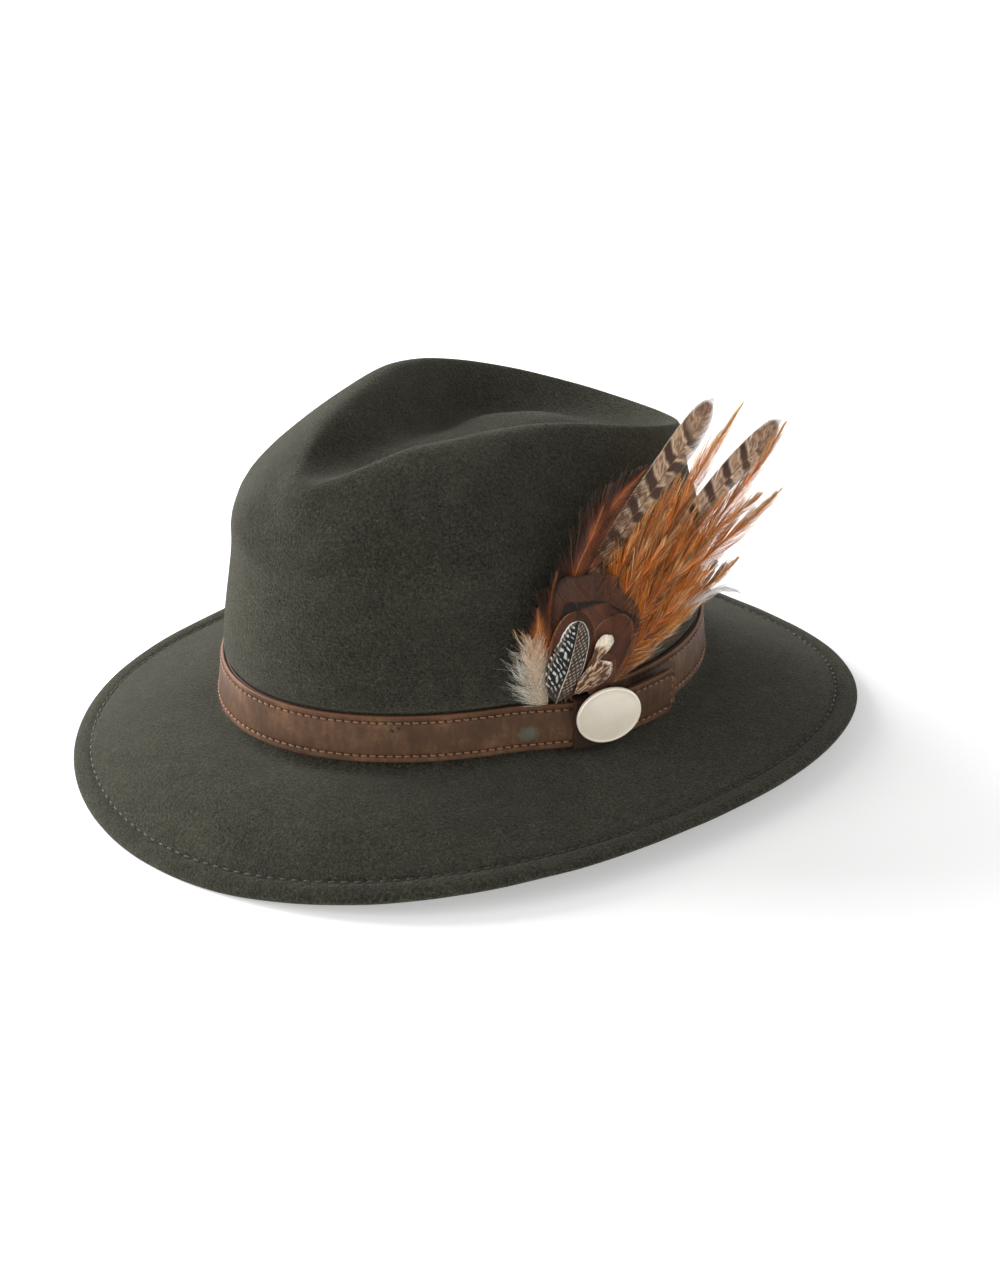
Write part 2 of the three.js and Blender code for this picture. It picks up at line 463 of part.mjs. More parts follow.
FEATHERS.forEach(([name, b, mm, t, width, layer, mat]) => {
  const rings = (mat === 'barred' ? VANE_ROUND : VANE).map(([f, wf]) => {
    const q = (k) => (1 - f) * (1 - f) * b[k] + 2 * f * (1 - f) * (2 * mm[k] - (b[k] + t[k]) / 2) + f * f * t[k];
    const dq = (k) => 2 * (1 - f) * ((2 * mm[k] - (b[k] + t[k]) / 2) - b[k]) + 2 * f * (t[k] - (2 * mm[k] - (b[k] + t[k]) / 2));
    const s = q(0), h = q(1), L = Math.hypot(dq(0), dq(1)), px = -dq(1) / L, py = dq(0) / L, w = width * wf / 2;
    return [[w, 0], [w, FEATHER_T], [-w, FEATHER_T], [-w, 0]].map(([o, d]) => fan(s + px * o, h + py * o, 0.9 + layer * FEATHER_PITCH + d));
  });
  add(name, loft(rings, false), mat);
});
{ // wrapped root of the feathers, below the band's top edge
  const g = new THREE.CapsuleGeometry(0.65, 8, 3, 8);
  g.rotateZ(Math.PI / 2);
  const basis = new THREE.Matrix4().makeBasis(FS, FH, FD);
  const p = fan(1.5, -4.5, 1.5);
  g.applyMatrix4(basis);
  g.translate(p.x, p.y, p.z);
  add('feather_quill_binding', fromSolid(toSolid(g)), 'pad');
}

// ------------------------------------------------------------- inside fittings
function innerRing(points) {
  const rings = [];
  for (let j = 0; j < NT; j++) {
    const T = j * 2 * Math.PI / NT;
    rings.push(points.map(([u, z]) => at(T, u, z)));
  }
  return loft(rings, true);
}
add('sweatband', innerRing([[-5.75, -2.4], [-6.1, 8], [-7.5, 22.3], [-7.5, 33], [-8.6, 33], [-8.6, 22.3], [-7.2, 8], [-6.85, -2.4]]), 'sweat');
add('sweatband_reed', threadRing((T) => at(T, -6.3, -3.7), NT, 0.95), 'sweat');
add('sweatband_stitch', threadRing((T) => at(T, -7.55, 0.6), NT, 0.3), 'thread');
{ // flat ribbon bow on the sweatband's back seam, and a blank label beside it
  const bow = new THREE.Shape([[-8, 3], [-2, 0.9], [2, 0.9], [8, 3], [8, -3], [2, -0.9], [-2, -0.9], [-8, -3]].map(([x, y]) => new THREE.Vector2(x, y)));
  const g = new THREE.ExtrudeGeometry(bow, { depth: 1.0, bevelEnabled: false });
  g.rotateX(Math.PI / 2);
  g.translate(0, OVAL_A - 9.35, 14);
  add('sweatband_bow', fromSolid(toSolid(g)), 'label');
  const lab = new THREE.BoxGeometry(16, 0.5, 9);
  const o = oval(150 * RAD);
  lab.rotateZ(Math.atan2(o.ny, o.nx) - Math.PI / 2);
  const c = at(150 * RAD, -9.6, 27);
  lab.translate(c.x, c.y, c.z);
  add('size_label', fromSolid(toSolid(lab)), 'label');
}

export default hat;
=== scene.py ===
import math

import bpy
import numpy as np
from mathutils import Matrix, Vector


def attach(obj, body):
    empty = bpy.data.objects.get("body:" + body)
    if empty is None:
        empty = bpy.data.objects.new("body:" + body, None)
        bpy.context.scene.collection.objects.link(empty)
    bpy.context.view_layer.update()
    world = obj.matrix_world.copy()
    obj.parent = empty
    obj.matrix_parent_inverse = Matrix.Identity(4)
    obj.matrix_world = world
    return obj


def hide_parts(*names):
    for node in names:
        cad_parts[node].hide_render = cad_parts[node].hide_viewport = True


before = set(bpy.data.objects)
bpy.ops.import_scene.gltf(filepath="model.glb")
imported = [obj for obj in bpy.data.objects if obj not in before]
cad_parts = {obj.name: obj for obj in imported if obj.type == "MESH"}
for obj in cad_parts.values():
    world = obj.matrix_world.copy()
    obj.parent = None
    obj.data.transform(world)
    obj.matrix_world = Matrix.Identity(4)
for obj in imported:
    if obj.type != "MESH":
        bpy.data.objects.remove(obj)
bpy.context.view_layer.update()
RAD = math.pi / 180.0
TAU = 2.0 * math.pi

# ------------------------------------------------------------ resting pose
# The hat is drawn in its own level frame in millimetres (front -Y, wearer's
# left +X, z = 0 where crown meets brim) and set down as the frame has it.
PITCH, LIFT, SHIFT = -0.034462118675576914, 27.0299902699995, -2.7028254430549907
CP, SP = math.cos(PITCH), math.sin(PITCH)


def place(P):
    P = np.asarray(P, float)
    out = np.empty_like(P)
    out[..., 0] = P[..., 0]
    out[..., 1] = P[..., 1] * CP - P[..., 2] * SP + SHIFT
    out[..., 2] = P[..., 1] * SP + P[..., 2] * CP + LIFT
    return out * 0.001


def turn(v):
    return Vector((v[0], v[1] * CP - v[2] * SP, v[1] * SP + v[2] * CP))


# ---------------------------------------------------------------- dimensions
OVAL_A, OVAL_B, EGG, CROWN_CY = 108.26, 85.71, 0.072, 22.0
FELT_T = 2.3
BRIM_W = [58.22, -2.98, 1.20, -0.73, -2.75]
BRIM_Z = [-19.67, -6.37, -5.40, 0.11, -1.42, 0.19]
BRIM_S = [0.4366, 0.2440, 0.1815, 0.0018]
WELT_W = 9.25
KNOTS = np.array([0, 12, 25, 40, 60, 90, 120, 150, 180]) * RAD
RIDGE_R = [102.86, 81.93, 63.46, 51.41, 46.03, 47.82, 59.13, 73.79, 85.89]
RIDGE_Z = [98.48, 107.72, 112.76, 114.47, 115.19, 111.42, 102.98, 91.49, 82.87]
CREASE_R = [55.35, 43.89, 34.37, 27.85, 25.95, 28.47, 34.78, 42.69, 54.61]
CREASE_Z = [104.65, 101.9, 99.09, 96.45, 93.42, 91.18, 89.33, 87.45, 86.86]
WALL_IN = [8.5, 8.3, 7.6, 6.2, 4.6, 3.8, 4.6, 4.6, 1.5]
SHOULDER = [-0.13, -0.13, -0.05, -0.05, 0.25, 0.25, 0.25, 0.25, 0.25]
DOME_Z = 101.33
BAND_Z, BAND_H, BAND_TAPER = 4.25, 18.6, 1.6
LEATHER_T, BACKING_T, GAP = 1.4, 0.8, 0.3
BAND_T = LEATHER_T + GAP + BACKING_T
TAIL_END, UNDER_START = 107.0, 89.8
LIFT_FROM, LIFT_FULL, LIFT_LOW, LIFT_TOP, TAIL_DROP = 64.0, 86.0, 5.0, 7.0, 1.5
KEEPER_FROM, KEEPER_TO, KEEPER_T = 78.5, 90.5, 1.2
ROW_IN = 2.6
STITCH = 3.3
MED_R, MED_T = 13.0, 1.8
MED_C = np.array([97.4, -13.75, 17.35])
MED_AZ, MED_TILT = 64 * RAD, -13 * RAD
MED_N = np.array([math.cos(MED_TILT) * math.sin(MED_AZ), -math.cos(MED_TILT) * math.cos(MED_AZ), math.sin(MED_TILT)])
FO = np.array([82.70, -13.89, 23.0])
FS = np.array([0.157739, 0.987481, 0.0]); FS /= np.linalg.norm(FS)
FH = np.array([-0.017234, 0.002753, 0.999848]); FH /= np.linalg.norm(FH)
FD = np.cross(FS, FH); FD /= np.linalg.norm(FD)


def fan(s, h, d):
    s, h, d = np.broadcast_arrays(np.asarray(s, float), np.asarray(h, float), np.asarray(d, float))
    return FO + s[..., None] * FS + h[..., None] * FH + (d - s * s / 700.0)[..., None] * FD


# ------------------------------------------------------------------- helpers
def smooth(x):
    t = np.clip(x, 0, 1)
    return t * t * (3 - 2 * t)


def cos_series(c, t):
    return sum(v * np.cos(k * t) for k, v in enumerate(c))


def even_spline(vals):
    n = len(vals)
    A, rhs = np.zeros((n, n)), np.zeros(n)
    h = np.diff(KNOTS)
    A[0, 0], A[0, 1], rhs[0] = 2 * h[0], h[0], 6 * (vals[1] - vals[0]) / h[0]
    A[-1, -2], A[-1, -1], rhs[-1] = h[-1], 2 * h[-1], -6 * (vals[-1] - vals[-2]) / h[-1]
    for i in range(1, n - 1):
        A[i, i - 1], A[i, i], A[i, i + 1] = h[i - 1], 2 * (h[i - 1] + h[i]), h[i]
        rhs[i] = 6 * ((vals[i + 1] - vals[i]) / h[i] - (vals[i] - vals[i - 1]) / h[i - 1])
    m, v = np.linalg.solve(A, rhs), np.array(vals, float)

    def f(t0):
        t = np.abs((np.asarray(t0, float) + math.pi) % TAU - math.pi)
        i = np.clip(np.searchsorted(KNOTS, t, side="left") - 1, 0, n - 2)
        hh = KNOTS[i + 1] - KNOTS[i]
        a, b = (KNOTS[i + 1] - t) / hh, (t - KNOTS[i]) / hh
        return a * v[i] + b * v[i + 1] + ((a ** 3 - a) * m[i] + (b ** 3 - b) * m[i + 1]) * hh * hh / 6

    return f


ridge_r, ridge_z, crease_r = even_spline(RIDGE_R), even_spline(RIDGE_Z), even_spline(CREASE_R)
crease_z, wall_in, shoulder = even_spline(CREASE_Z), even_spline(WALL_IN), even_spline(SHOULDER)


def bspline_weights(n, ts, p=3):
    """Weights of a clamped uniform cubic B-spline with n control points at each t."""
    kn = np.array([0.0 if i <= p else 1.0 if i >= n else (i - p) / (n - p) for i in range(n + p + 1)])
    W = np.zeros((len(ts), n))
    for a, t in enumerate(ts):
        t = min(max(t, 0.0), 1 - 1e-9)
        N = np.array([1.0 if kn[i] <= t < kn[i + 1] else 0.0 for i in range(n + p)])
        for k in range(1, p + 1):
            M = np.zeros(n + p - k)
            for i in range(n + p - k):
                x = 0.0
                if kn[i + k] > kn[i]:
                    x += (t - kn[i]) / (kn[i + k] - kn[i]) * N[i]
                if kn[i + k + 1] > kn[i + 1]:
                    x += (kn[i + k + 1] - t) / (kn[i + k + 1] - kn[i + 1]) * N[i + 1]
                M[i] = x
            N = M
        W[a] = N[:n]
    return W


def oval(T):
    c, s = np.cos(T), np.sin(T)
    x, y = OVAL_B * s * (1 - EGG * c), -OVAL_A * c
    tx, ty = OVAL_B * c * (1 - EGG * c) + OVAL_B * EGG * s * s, OVAL_A * s
    L = np.hypot(tx, ty)
    return x, y, ty / L, -tx / L


def at(T, u, z):
    T, u, z = np.broadcast_arrays(np.asarray(T, float), np.asarray(u, float), np.asarray(z, float))
    x, y, nx, ny = oval(T)
    return np.stack([x + nx * u, y + ny * u, z], -1)


def waist(T):
    d = (T / RAD) % 360
    return np.where((d > 60) & (d < 100), 1 - smooth((d - 66) / 6) * (1 - smooth((d - 86) / 3.8)), 1.0)


def srgb(r, g, b):
    c = np.array([r, g, b], float) / 255
    return np.where(c <= 0.04045, c / 12.92, ((c + 0.055) / 1.055) ** 2.4)


def rgba(r, g, b):
    return (*[float(v) for v in srgb(r, g, b)], 1.0)


def noise2(x, y, seed):
    """Smooth value noise on a 2-D lattice, about -1 to 1."""
    tab = np.random.default_rng(seed).uniform(-1, 1, (64, 64))
    xi, yi = np.floor(x).astype(int), np.floor(y).astype(int)
    fx, fy = x - xi, y - yi
    fx, fy = fx * fx * (3 - 2 * fx), fy * fy * (3 - 2 * fy)
    g = lambda a, b: tab[a % 64, b % 64]
    return ((g(xi, yi) * (1 - fx) + g(xi + 1, yi) * fx) * (1 - fy)
            + (g(xi, yi + 1) * (1 - fx) + g(xi + 1, yi + 1) * fx) * fy)


def new_mesh(name, V, faces, body, material, replaces=(), uv=None, color=None, shade=True):
    """One piece from points in metres and a list of face arrays (quads and triangles)."""
    V = np.ascontiguousarray(V, dtype=np.float32).reshape(-1, 3)
    faces = [np.asarray(f, np.int32) for f in faces if len(f)]
    loops = np.concatenate([f.ravel() for f in faces])
    total = np.concatenate([np.full(len(f), f.shape[1], np.int32) for f in faces])
    start = np.concatenate([[0], np.cumsum(total)[:-1]]).astype(np.int32)
    me = bpy.data.meshes.new(name)
    me.vertices.add(len(V)); me.vertices.foreach_set("co", V.ravel())
    me.loops.add(len(loops)); me.loops.foreach_set("vertex_index", loops)
    me.polygons.add(len(start)); me.polygons.foreach_set("loop_start", start)
    me.polygons.foreach_set("use_smooth", np.full(len(start), bool(shade)))
    me.update(calc_edges=True)
    if uv is not None:
        layer = me.uv_layers.new(name="UVMap")
        U = np.asarray(uv, np.float32)
        U = U[loops] if len(U) == len(V) else U
        layer.data.foreach_set("uv", np.ascontiguousarray(U).ravel())
    if color is not None:
        C = np.ones((len(V), 4), np.float32); C[:, :3] = color
        att = me.color_attributes.new("tint", "FLOAT_COLOR", "POINT")
        att.data.foreach_set("color", C.ravel())
    me.validate()
    o = bpy.data.objects.new(name, me)
    bpy.context.scene.collection.objects.link(o)
    me.materials.append(material)
    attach(o, body)
    if replaces:
        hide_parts(*replaces)
    return o


def grid_faces(rows, cols, wrap_c=True, wrap_r=False, base=0, flip=False):
    r = np.arange(rows if wrap_r else rows - 1)
    c = np.arange(cols if wrap_c else cols - 1)
    R, C = np.meshgrid(r, c, indexing="ij")
    R2, C2 = (R + 1) % rows, (C + 1) % cols
    q = np.stack([R * cols + C, R2 * cols + C, R2 * cols + C2, R * cols + C2], -1).reshape(-1, 4) + base
    return q[:, ::-1] if flip else q


def capsules(centres, dirs, ups, length, radius, sides=8, rings=7, sag=0.0, flat=1.0, power=4):
    """Many rounded thread stitches in one mesh: points and quads."""
    n = len(centres)
    q = np.linspace(-1, 1, rings)
    rad = radius * np.maximum((1 - np.abs(q) ** power), 0.0) ** (1 / power)
    rad[0] = rad[-1] = radius * 0.12
    ang = np.arange(sides) * TAU / sides
    side = np.cross(dirs, ups)
    side /= np.linalg.norm(side, axis=1)[:, None]
    P = (centres[:, None, None, :]
         + dirs[:, None, None, :] * (q * length / 2)[None, :, None, None]
         + side[:, None, None, :] * (rad[:, None] * np.cos(ang))[None, :, :, None]
         + ups[:, None, None, :] * (rad[:, None] * np.sin(ang) * flat)[None, :, :, None]
         - ups[:, None, None, :] * (sag * np.abs(q) ** 3)[None, :, None, None])
    quads = []
    for i in range(rings - 1):
        for j in range(sides):
            a, b = i * sides + j, i * sides + (j + 1) % sides
            quads.append([a, b, b + sides, a + sides])
    quads = np.array(quads)
    ends0 = np.arange(sides)[::-1][None, :]
    ends1 = (np.arange(sides) + (rings - 1) * sides)[None, :]
    off = (np.arange(n) * rings * sides)[:, None, None]
    return P.reshape(-1, 3), [(quads[None] + off).reshape(-1, 4), (ends0[None] + off).reshape(-1, sides), (ends1[None] + off).reshape(-1, sides)]


# ----------------------------------------------------------------- materials
def material(name):
    m = bpy.data.materials.new(name)
    m.use_nodes = True
    nt = m.node_tree
    b = nt.nodes["Principled BSDF"]
    return m, nt, b


def link(nt, a, b):
    nt.links.new(a, b)


def node(nt, kind, **inputs):
    n = nt.nodes.new(kind)
    for k, v in inputs.items():
        if hasattr(n, k):
            setattr(n, k, v)
        else:
            n.inputs[k.replace("_", " ")].default_value = v
    return n


def coords(nt, scale=(1, 1, 1), kind="Object"):
    tc = nt.nodes.new("ShaderNodeTexCoord")
    mp = nt.nodes.new("ShaderNodeMapping")
    mp.inputs["Scale"].default_value = scale
    link(nt, tc.outputs[kind], mp.inputs["Vector"])
    return mp.outputs["Vector"]


def noise(nt, vec, scale, detail=2.0, rough=0.5, distortion=0.0):
    n = nt.nodes.new("ShaderNodeTexNoise")
    n.inputs["Scale"].default_value = scale
    n.inputs["Detail"].default_value = detail
    n.inputs["Roughness"].default_value = rough
    n.inputs["Distortion"].default_value = distortion
    link(nt, vec, n.inputs["Vector"])
    return n.outputs["Fac"]


def ramp(nt, fac, stops, interp="LINEAR"):
    r = nt.nodes.new("ShaderNodeValToRGB")
    r.color_ramp.interpolation = interp
    e = r.color_ramp.elements
    while len(e) > 1:
        e.remove(e[-1])
    e[0].position, e[0].color = stops[0]
    for p, c in stops[1:]:
        x = e.new(p); x.color = c
    link(nt, fac, r.inputs["Fac"])
    return r.outputs["Color"]


def maths(nt, op, a, b=None, c=None):
    n = nt.nodes.new("ShaderNodeMath"); n.operation = op
    for i, v in enumerate((a, b, c)):
        if v is None:
            continue
        if isinstance(v, (int, float)):
            n.inputs[i].default_value = v
        else:
            link(nt, v, n.inputs[i])
    return n.outputs[0]


def mixc(nt, fac, a, b, kind="MIX"):
    n = nt.nodes.new("ShaderNodeMix"); n.data_type = "RGBA"; n.blend_type = kind
    for i, v in ((0, fac), (6, a), (7, b)):
        if isinstance(v, (int, float)):
            n.inputs[i].default_value = v
        elif isinstance(v, tuple):
            n.inputs[i].default_value = v
        else:
            link(nt, v, n.inputs[i])
    return n.outputs[2]


def bump(nt, height, strength, distance, prev=None):
    n = nt.nodes.new("ShaderNodeBump")
    n.inputs["Strength"].default_value = strength
    n.inputs["Distance"].default_value = distance
    link(nt, height, n.inputs["Height"])
    if prev is not None:
        link(nt, prev, n.inputs["Normal"])
    return n.outputs["Normal"]


def grey(v):
    return (v, v, v, 1.0)


def felt_material(name, base, sheen=0.30):
    m, nt, b = material(name)
    obj = coords(nt)
    fine = noise(nt, obj, 1500, 2, 0.7)
    nap = noise(nt, obj, 850, 3, 0.8, 0.4)
    # short fibres lying in all directions: two stretched layers at an angle
    uvv = coords(nt, (1, 1, 1), "UV")
    fib = []
    for turn_, sx, sy in ((0.5, 200, 560), (-0.7, 560, 200)):
        mp = nt.nodes.new("ShaderNodeMapping")
        mp.inputs["Scale"].default_value = (sx, sy, 1)
        mp.inputs["Rotation"].default_value = (0, 0, turn_)
        link(nt, uvv, mp.inputs["Vector"])
        fib.append(noise(nt, mp.outputs["Vector"], 1.0, 2, 0.7, 0.6))
    lint = maths(nt, "MAXIMUM", fib[0], fib[1])
    mid = noise(nt, obj, 120, 3, 0.6)
    wide = noise(nt, obj, 22, 2, 0.5)
    k = maths(nt, "ADD", maths(nt, "MULTIPLY", nap, 0.55), maths(nt, "MULTIPLY", fine, 0.45))
    k = maths(nt, "ADD", k, maths(nt, "MULTIPLY", maths(nt, "SUBTRACT", lint, 0.55), 0.45))
    k = maths(nt, "ADD", k, maths(nt, "MULTIPLY", maths(nt, "SUBTRACT", mid, 0.5), 0.12))
    k = maths(nt, "ADD", k, maths(nt, "MULTIPLY", maths(nt, "SUBTRACT", wide, 0.5), 0.10))
    c = np.array(base)
    dark, light, pale = c * 0.16, c * 2.3 + 0.001, c * 5.0 + 0.020
    col = ramp(nt, k, [(0.37, (*dark, 1)), (0.50, (*c, 1)), (0.62, (*light, 1)), (0.73, (*pale, 1))])
    link(nt, col, b.inputs["Base Color"])
    b.inputs["Roughness"].default_value = 0.95
    b.inputs["Specular IOR Level"].default_value = 0.08
    b.inputs["Sheen Weight"].default_value = sheen
    b.inputs["Sheen Roughness"].default_value = 0.40
    b.inputs["Sheen Tint"].default_value = (0.72, 0.70, 0.58, 1)
    n1 = bump(nt, nap, 1.0, 0.0016)
    n2 = bump(nt, fine, 0.6, 0.0006, n1)
    n3 = bump(nt, lint, 0.45, 0.0008, n2)
    link(nt, n3, b.inputs["Normal"])
    return m


def thread_material(name, light, dark):
    m, nt, b = material(name)
    obj = coords(nt)
    w = noise(nt, obj, 2600, 2, 0.6)
    col = ramp(nt, w, [(0.3, (*dark, 1)), (0.7, (*light, 1))])
    link(nt, col, b.inputs["Base Color"])
    b.inputs["Roughness"].default_value = 0.62
    b.inputs["Sheen Weight"].default_value = 0.15
    link(nt, bump(nt, w, 0.5, 0.0003), b.inputs["Normal"])
    return m


MAT = {}
FELT_BASE = (0.0318, 0.0308, 0.0210)
MAT["felt"] = felt_material("felt", FELT_BASE)
MAT["felt_thread"] = thread_material("felt_thread", (0.046, 0.045, 0.032), (0.018, 0.018, 0.012))
MAT["thread"] = thread_material("tan_thread", tuple(srgb(170, 116, 74)), tuple(srgb(92, 52, 30)))
MAT["dark_thread"] = thread_material("dark_thread", tuple(srgb(34, 20, 14)), tuple(srgb(18, 11, 8)))


def leather_material(name, base, lit, holes=False, scuff=False, edge=None):
    m, nt, b = material(name)
    obj = coords(nt)
    pores = noise(nt, obj, 1900, 3, 0.6)
    grain = nt.nodes.new("ShaderNodeTexVoronoi"); grain.feature = "DISTANCE_TO_EDGE"
    grain.inputs["Scale"].default_value = 1150
    link(nt, obj, grain.inputs["Vector"])
    cloud = noise(nt, obj, 60, 4, 0.6)
    streak = noise(nt, coords(nt, (1, 1, 0.35)), 420, 3, 0.6)
    k = maths(nt, "ADD", maths(nt, "MULTIPLY", cloud, 0.55), maths(nt, "MULTIPLY", streak, 0.25))
    k = maths(nt, "ADD", k, maths(nt, "MULTIPLY", pores, 0.20))
    base, lit = np.array(base), np.array(lit)
    col = ramp(nt, k, [(0.36, (*(base * 0.62), 1)), (0.50, (*base, 1)), (0.62, (*lit, 1))])
    height = maths(nt, "MINIMUM", maths(nt, "MULTIPLY", grain.outputs["Distance"], 6.0), 1.0)
    normal = bump(nt, height, 0.16, 0.00025)
    normal = bump(nt, pores, 0.22, 0.0003, normal)
    rough = maths(nt, "ADD", maths(nt, "MULTIPLY", k, -0.25), 0.66)
    if holes or scuff or edge is not None:
        uvn = nt.nodes.new("ShaderNodeUVMap"); uvn.uv_map = "UVMap"
        sep = nt.nodes.new("ShaderNodeSeparateXYZ")
        link(nt, uvn.outputs["UV"], sep.inputs[0])
        U, Vv = sep.outputs[0], sep.outputs[1]      # 1 unit = 100 mm along and up
        h = maths(nt, "MULTIPLY", Vv, 100.0)
        x = maths(nt, "MULTIPLY", U, 100.0)
        hs = maths(nt, "MINIMUM", h, maths(nt, "SUBTRACT", BAND_H, h))
        if edge is not None:   # lighter rim along both cut edges
            e = nt.nodes.new("ShaderNodeMapRange")
            e.inputs["From Min"].default_value = 0.15
            e.inputs["From Max"].default_value = 0.95
            e.inputs["To Min"].default_value = 1.0
            e.inputs["To Max"].default_value = 0.0
            e.interpolation_type = "SMOOTHSTEP"
            link(nt, hs, e.inputs["Value"])
            col = mixc(nt, maths(nt, "MULTIPLY", e.outputs["Result"], 0.65), col, (*edge, 1))
        if holes:
            fr = maths(nt, "FRACT", maths(nt, "DIVIDE", x, STITCH))
            dx = maths(nt, "MULTIPLY", maths(nt, "SUBTRACT", fr, 0.5), STITCH)   # holes at half pitch
            dh = maths(nt, "SUBTRACT", hs, ROW_IN)
            rr = maths(nt, "SQRT", maths(nt, "ADD", maths(nt, "MULTIPLY", dx, dx), maths(nt, "MULTIPLY", dh, dh)))
            mr = nt.nodes.new("ShaderNodeMapRange")
            mr.inputs["From Min"].default_value = 0.42
            mr.inputs["From Max"].default_value = 0.95
            mr.inputs["To Min"].default_value = 1.0
            mr.inputs["To Max"].default_value = 0.0
            mr.interpolation_type = "SMOOTHSTEP"
            link(nt, rr, mr.inputs["Value"])
            hole = mr.outputs["Result"]
            # near-black in each stitch hole: painted shade inside the holes
            col = mixc(nt, maths(nt, "MULTIPLY", hole, 0.85), col, (*srgb(30, 19, 14), 1))
            groove = nt.nodes.new("ShaderNodeMapRange")
            groove.inputs["From Min"].default_value = 0.2
            groove.inputs["From Max"].default_value = 1.1
            groove.inputs["To Min"].default_value = 1.0
            groove.inputs["To Max"].default_value = 0.0
            groove.interpolation_type = "SMOOTHSTEP"
            link(nt, maths(nt, "ABSOLUTE", dh), groove.inputs["Value"])
            col = mixc(nt, maths(nt, "MULTIPLY", groove.outputs["Result"], 0.30), col, (*srgb(44, 28, 20), 1))
            normal = bump(nt, hole, -0.8, 0.0006, normal)
        if scuff:
            sx = maths(nt, "SUBTRACT", x, SCUFF[0])
            sh = maths(nt, "SUBTRACT", h, SCUFF[1])
            q = maths(nt, "ADD", maths(nt, "MULTIPLY", maths(nt, "MULTIPLY", sx, sx), 1 / 20.0), maths(nt, "MULTIPLY", maths(nt, "MULTIPLY", sh, sh), 1 / 9.0))
            q = maths(nt, "ADD", q, maths(nt, "MULTIPLY", maths(nt, "SUBTRACT", noise(nt, obj, 420, 3, 0.7), 0.5), 2.2))
            sr = nt.nodes.new("ShaderNodeMapRange")
            sr.inputs["From Min"].default_value = 0.1
            sr.inputs["From Max"].default_value = 1.2
            sr.inputs["To Min"].default_value = 0.72
            sr.inputs["To Max"].default_value = 0.0
            link(nt, q, sr.inputs["Value"])
            col = mixc(nt, sr.outputs["Result"], col, (*srgb(88, 98, 84), 1))
    link(nt, col, b.inputs["Base Color"])
    link(nt, rough, b.inputs["Roughness"])
    b.inputs["Specular IOR Level"].default_value = 0.24
    link(nt, normal, b.inputs["Normal"])
    return m


# arc length along the strap, used for stitches and for its texture
_T = np.linspace(-264, 108, 7441) * RAD
_P = at(_T, -0.3, 10)
_L = np.concatenate([[0], np.cumsum(np.linalg.norm(np.diff(_P, axis=0), axis=1))])


def arc(A_deg):
    return np.interp(np.asarray(A_deg) * RAD, _T, _L)


def angle_at(mm):
    return np.interp(mm, _L, _T) / RAD


ARC_END = float(arc(TAIL_END))
SCUFF = (float(arc(69.1)), 7.2)

MAT["strap"] = leather_material("strap_leather", srgb(82, 57, 38), srgb(110, 81, 54), True, True, srgb(112, 70, 42))
# keeper leather: its brown is darkened with painted shade from the medallion over it
MAT["leather"] = leather_material("keeper_leather_painted_shade", srgb(52, 34, 24), srgb(66, 44, 31))
MAT["backing"] = leather_material("backing_leather", srgb(66, 44, 33), srgb(84, 58, 44))
MAT["sweatband"] = leather_material("sweatband_leather", srgb(44, 34, 28), srgb(58, 46, 38))


def gold_material():
    m, nt, b = material("pale_gold")
    obj = coords(nt)
    smear = noise(nt, obj, 90, 3, 0.6)
    hair = noise(nt, coords(nt, (1, 1, 0.06)), 2400, 2, 0.6)
    # near-white cream with little metal: pale gold with the bright reflection of its surroundings painted in as diffuse
    # colour
    col = ramp(nt, smear, [(0.35, (*srgb(240, 228, 208), 1)), (0.65, (*srgb(248, 238, 220), 1))])
    link(nt, col, b.inputs["Base Color"])
    b.inputs["Metallic"].default_value = 0.12
    b.inputs["Specular IOR Level"].default_value = 0.8
    b.inputs["Coat Weight"].default_value = 0.5
    b.inputs["Coat Roughness"].default_value = 0.12
    link(nt, maths(nt, "ADD", maths(nt, "MULTIPLY", smear, 0.10), 0.25), b.inputs["Roughness"])
    link(nt, bump(nt, hair, 0.04, 0.0001), b.inputs["Normal"])
    return m


MAT["gold"] = gold_material()


def cloth_material(name, light, dark):
    m, nt, b = material(name)
    obj = coords(nt)
    w1 = nt.nodes.new("ShaderNodeTexWave"); w1.inputs["Scale"].default_value = 900; w1.bands_direction = "Z"
    w2 = nt.nodes.new("ShaderNodeTexWave"); w2.inputs["Scale"].default_value = 900; w2.bands_direction = "X"
    link(nt, obj, w1.inputs["Vector"]); link(nt, obj, w2.inputs["Vector"])
    k = maths(nt, "MULTIPLY", w1.outputs["Fac"], w2.outputs["Fac"])
    k = maths(nt, "ADD", maths(nt, "MULTIPLY", k, 0.6), maths(nt, "MULTIPLY", noise(nt, obj, 300, 3, 0.6), 0.4))
    link(nt, ramp(nt, k, [(0.2, (*dark, 1)), (0.7, (*light, 1))]), b.inputs["Base Color"])
    b.inputs["Roughness"].default_value = 0.6
    b.inputs["Sheen Weight"].default_value = 0.3
    link(nt, bump(nt, k, 0.4, 0.0003), b.inputs["Normal"])
    return m


MAT["ribbon"] = cloth_material("ribbon", srgb(62, 62, 60), srgb(26, 26, 26))
MAT["label"] = cloth_material("label", srgb(196, 188, 170), srgb(150, 142, 126))
MAT["pad"] = felt_material("pad_felt", (0.012, 0.010, 0.008), 0.1)


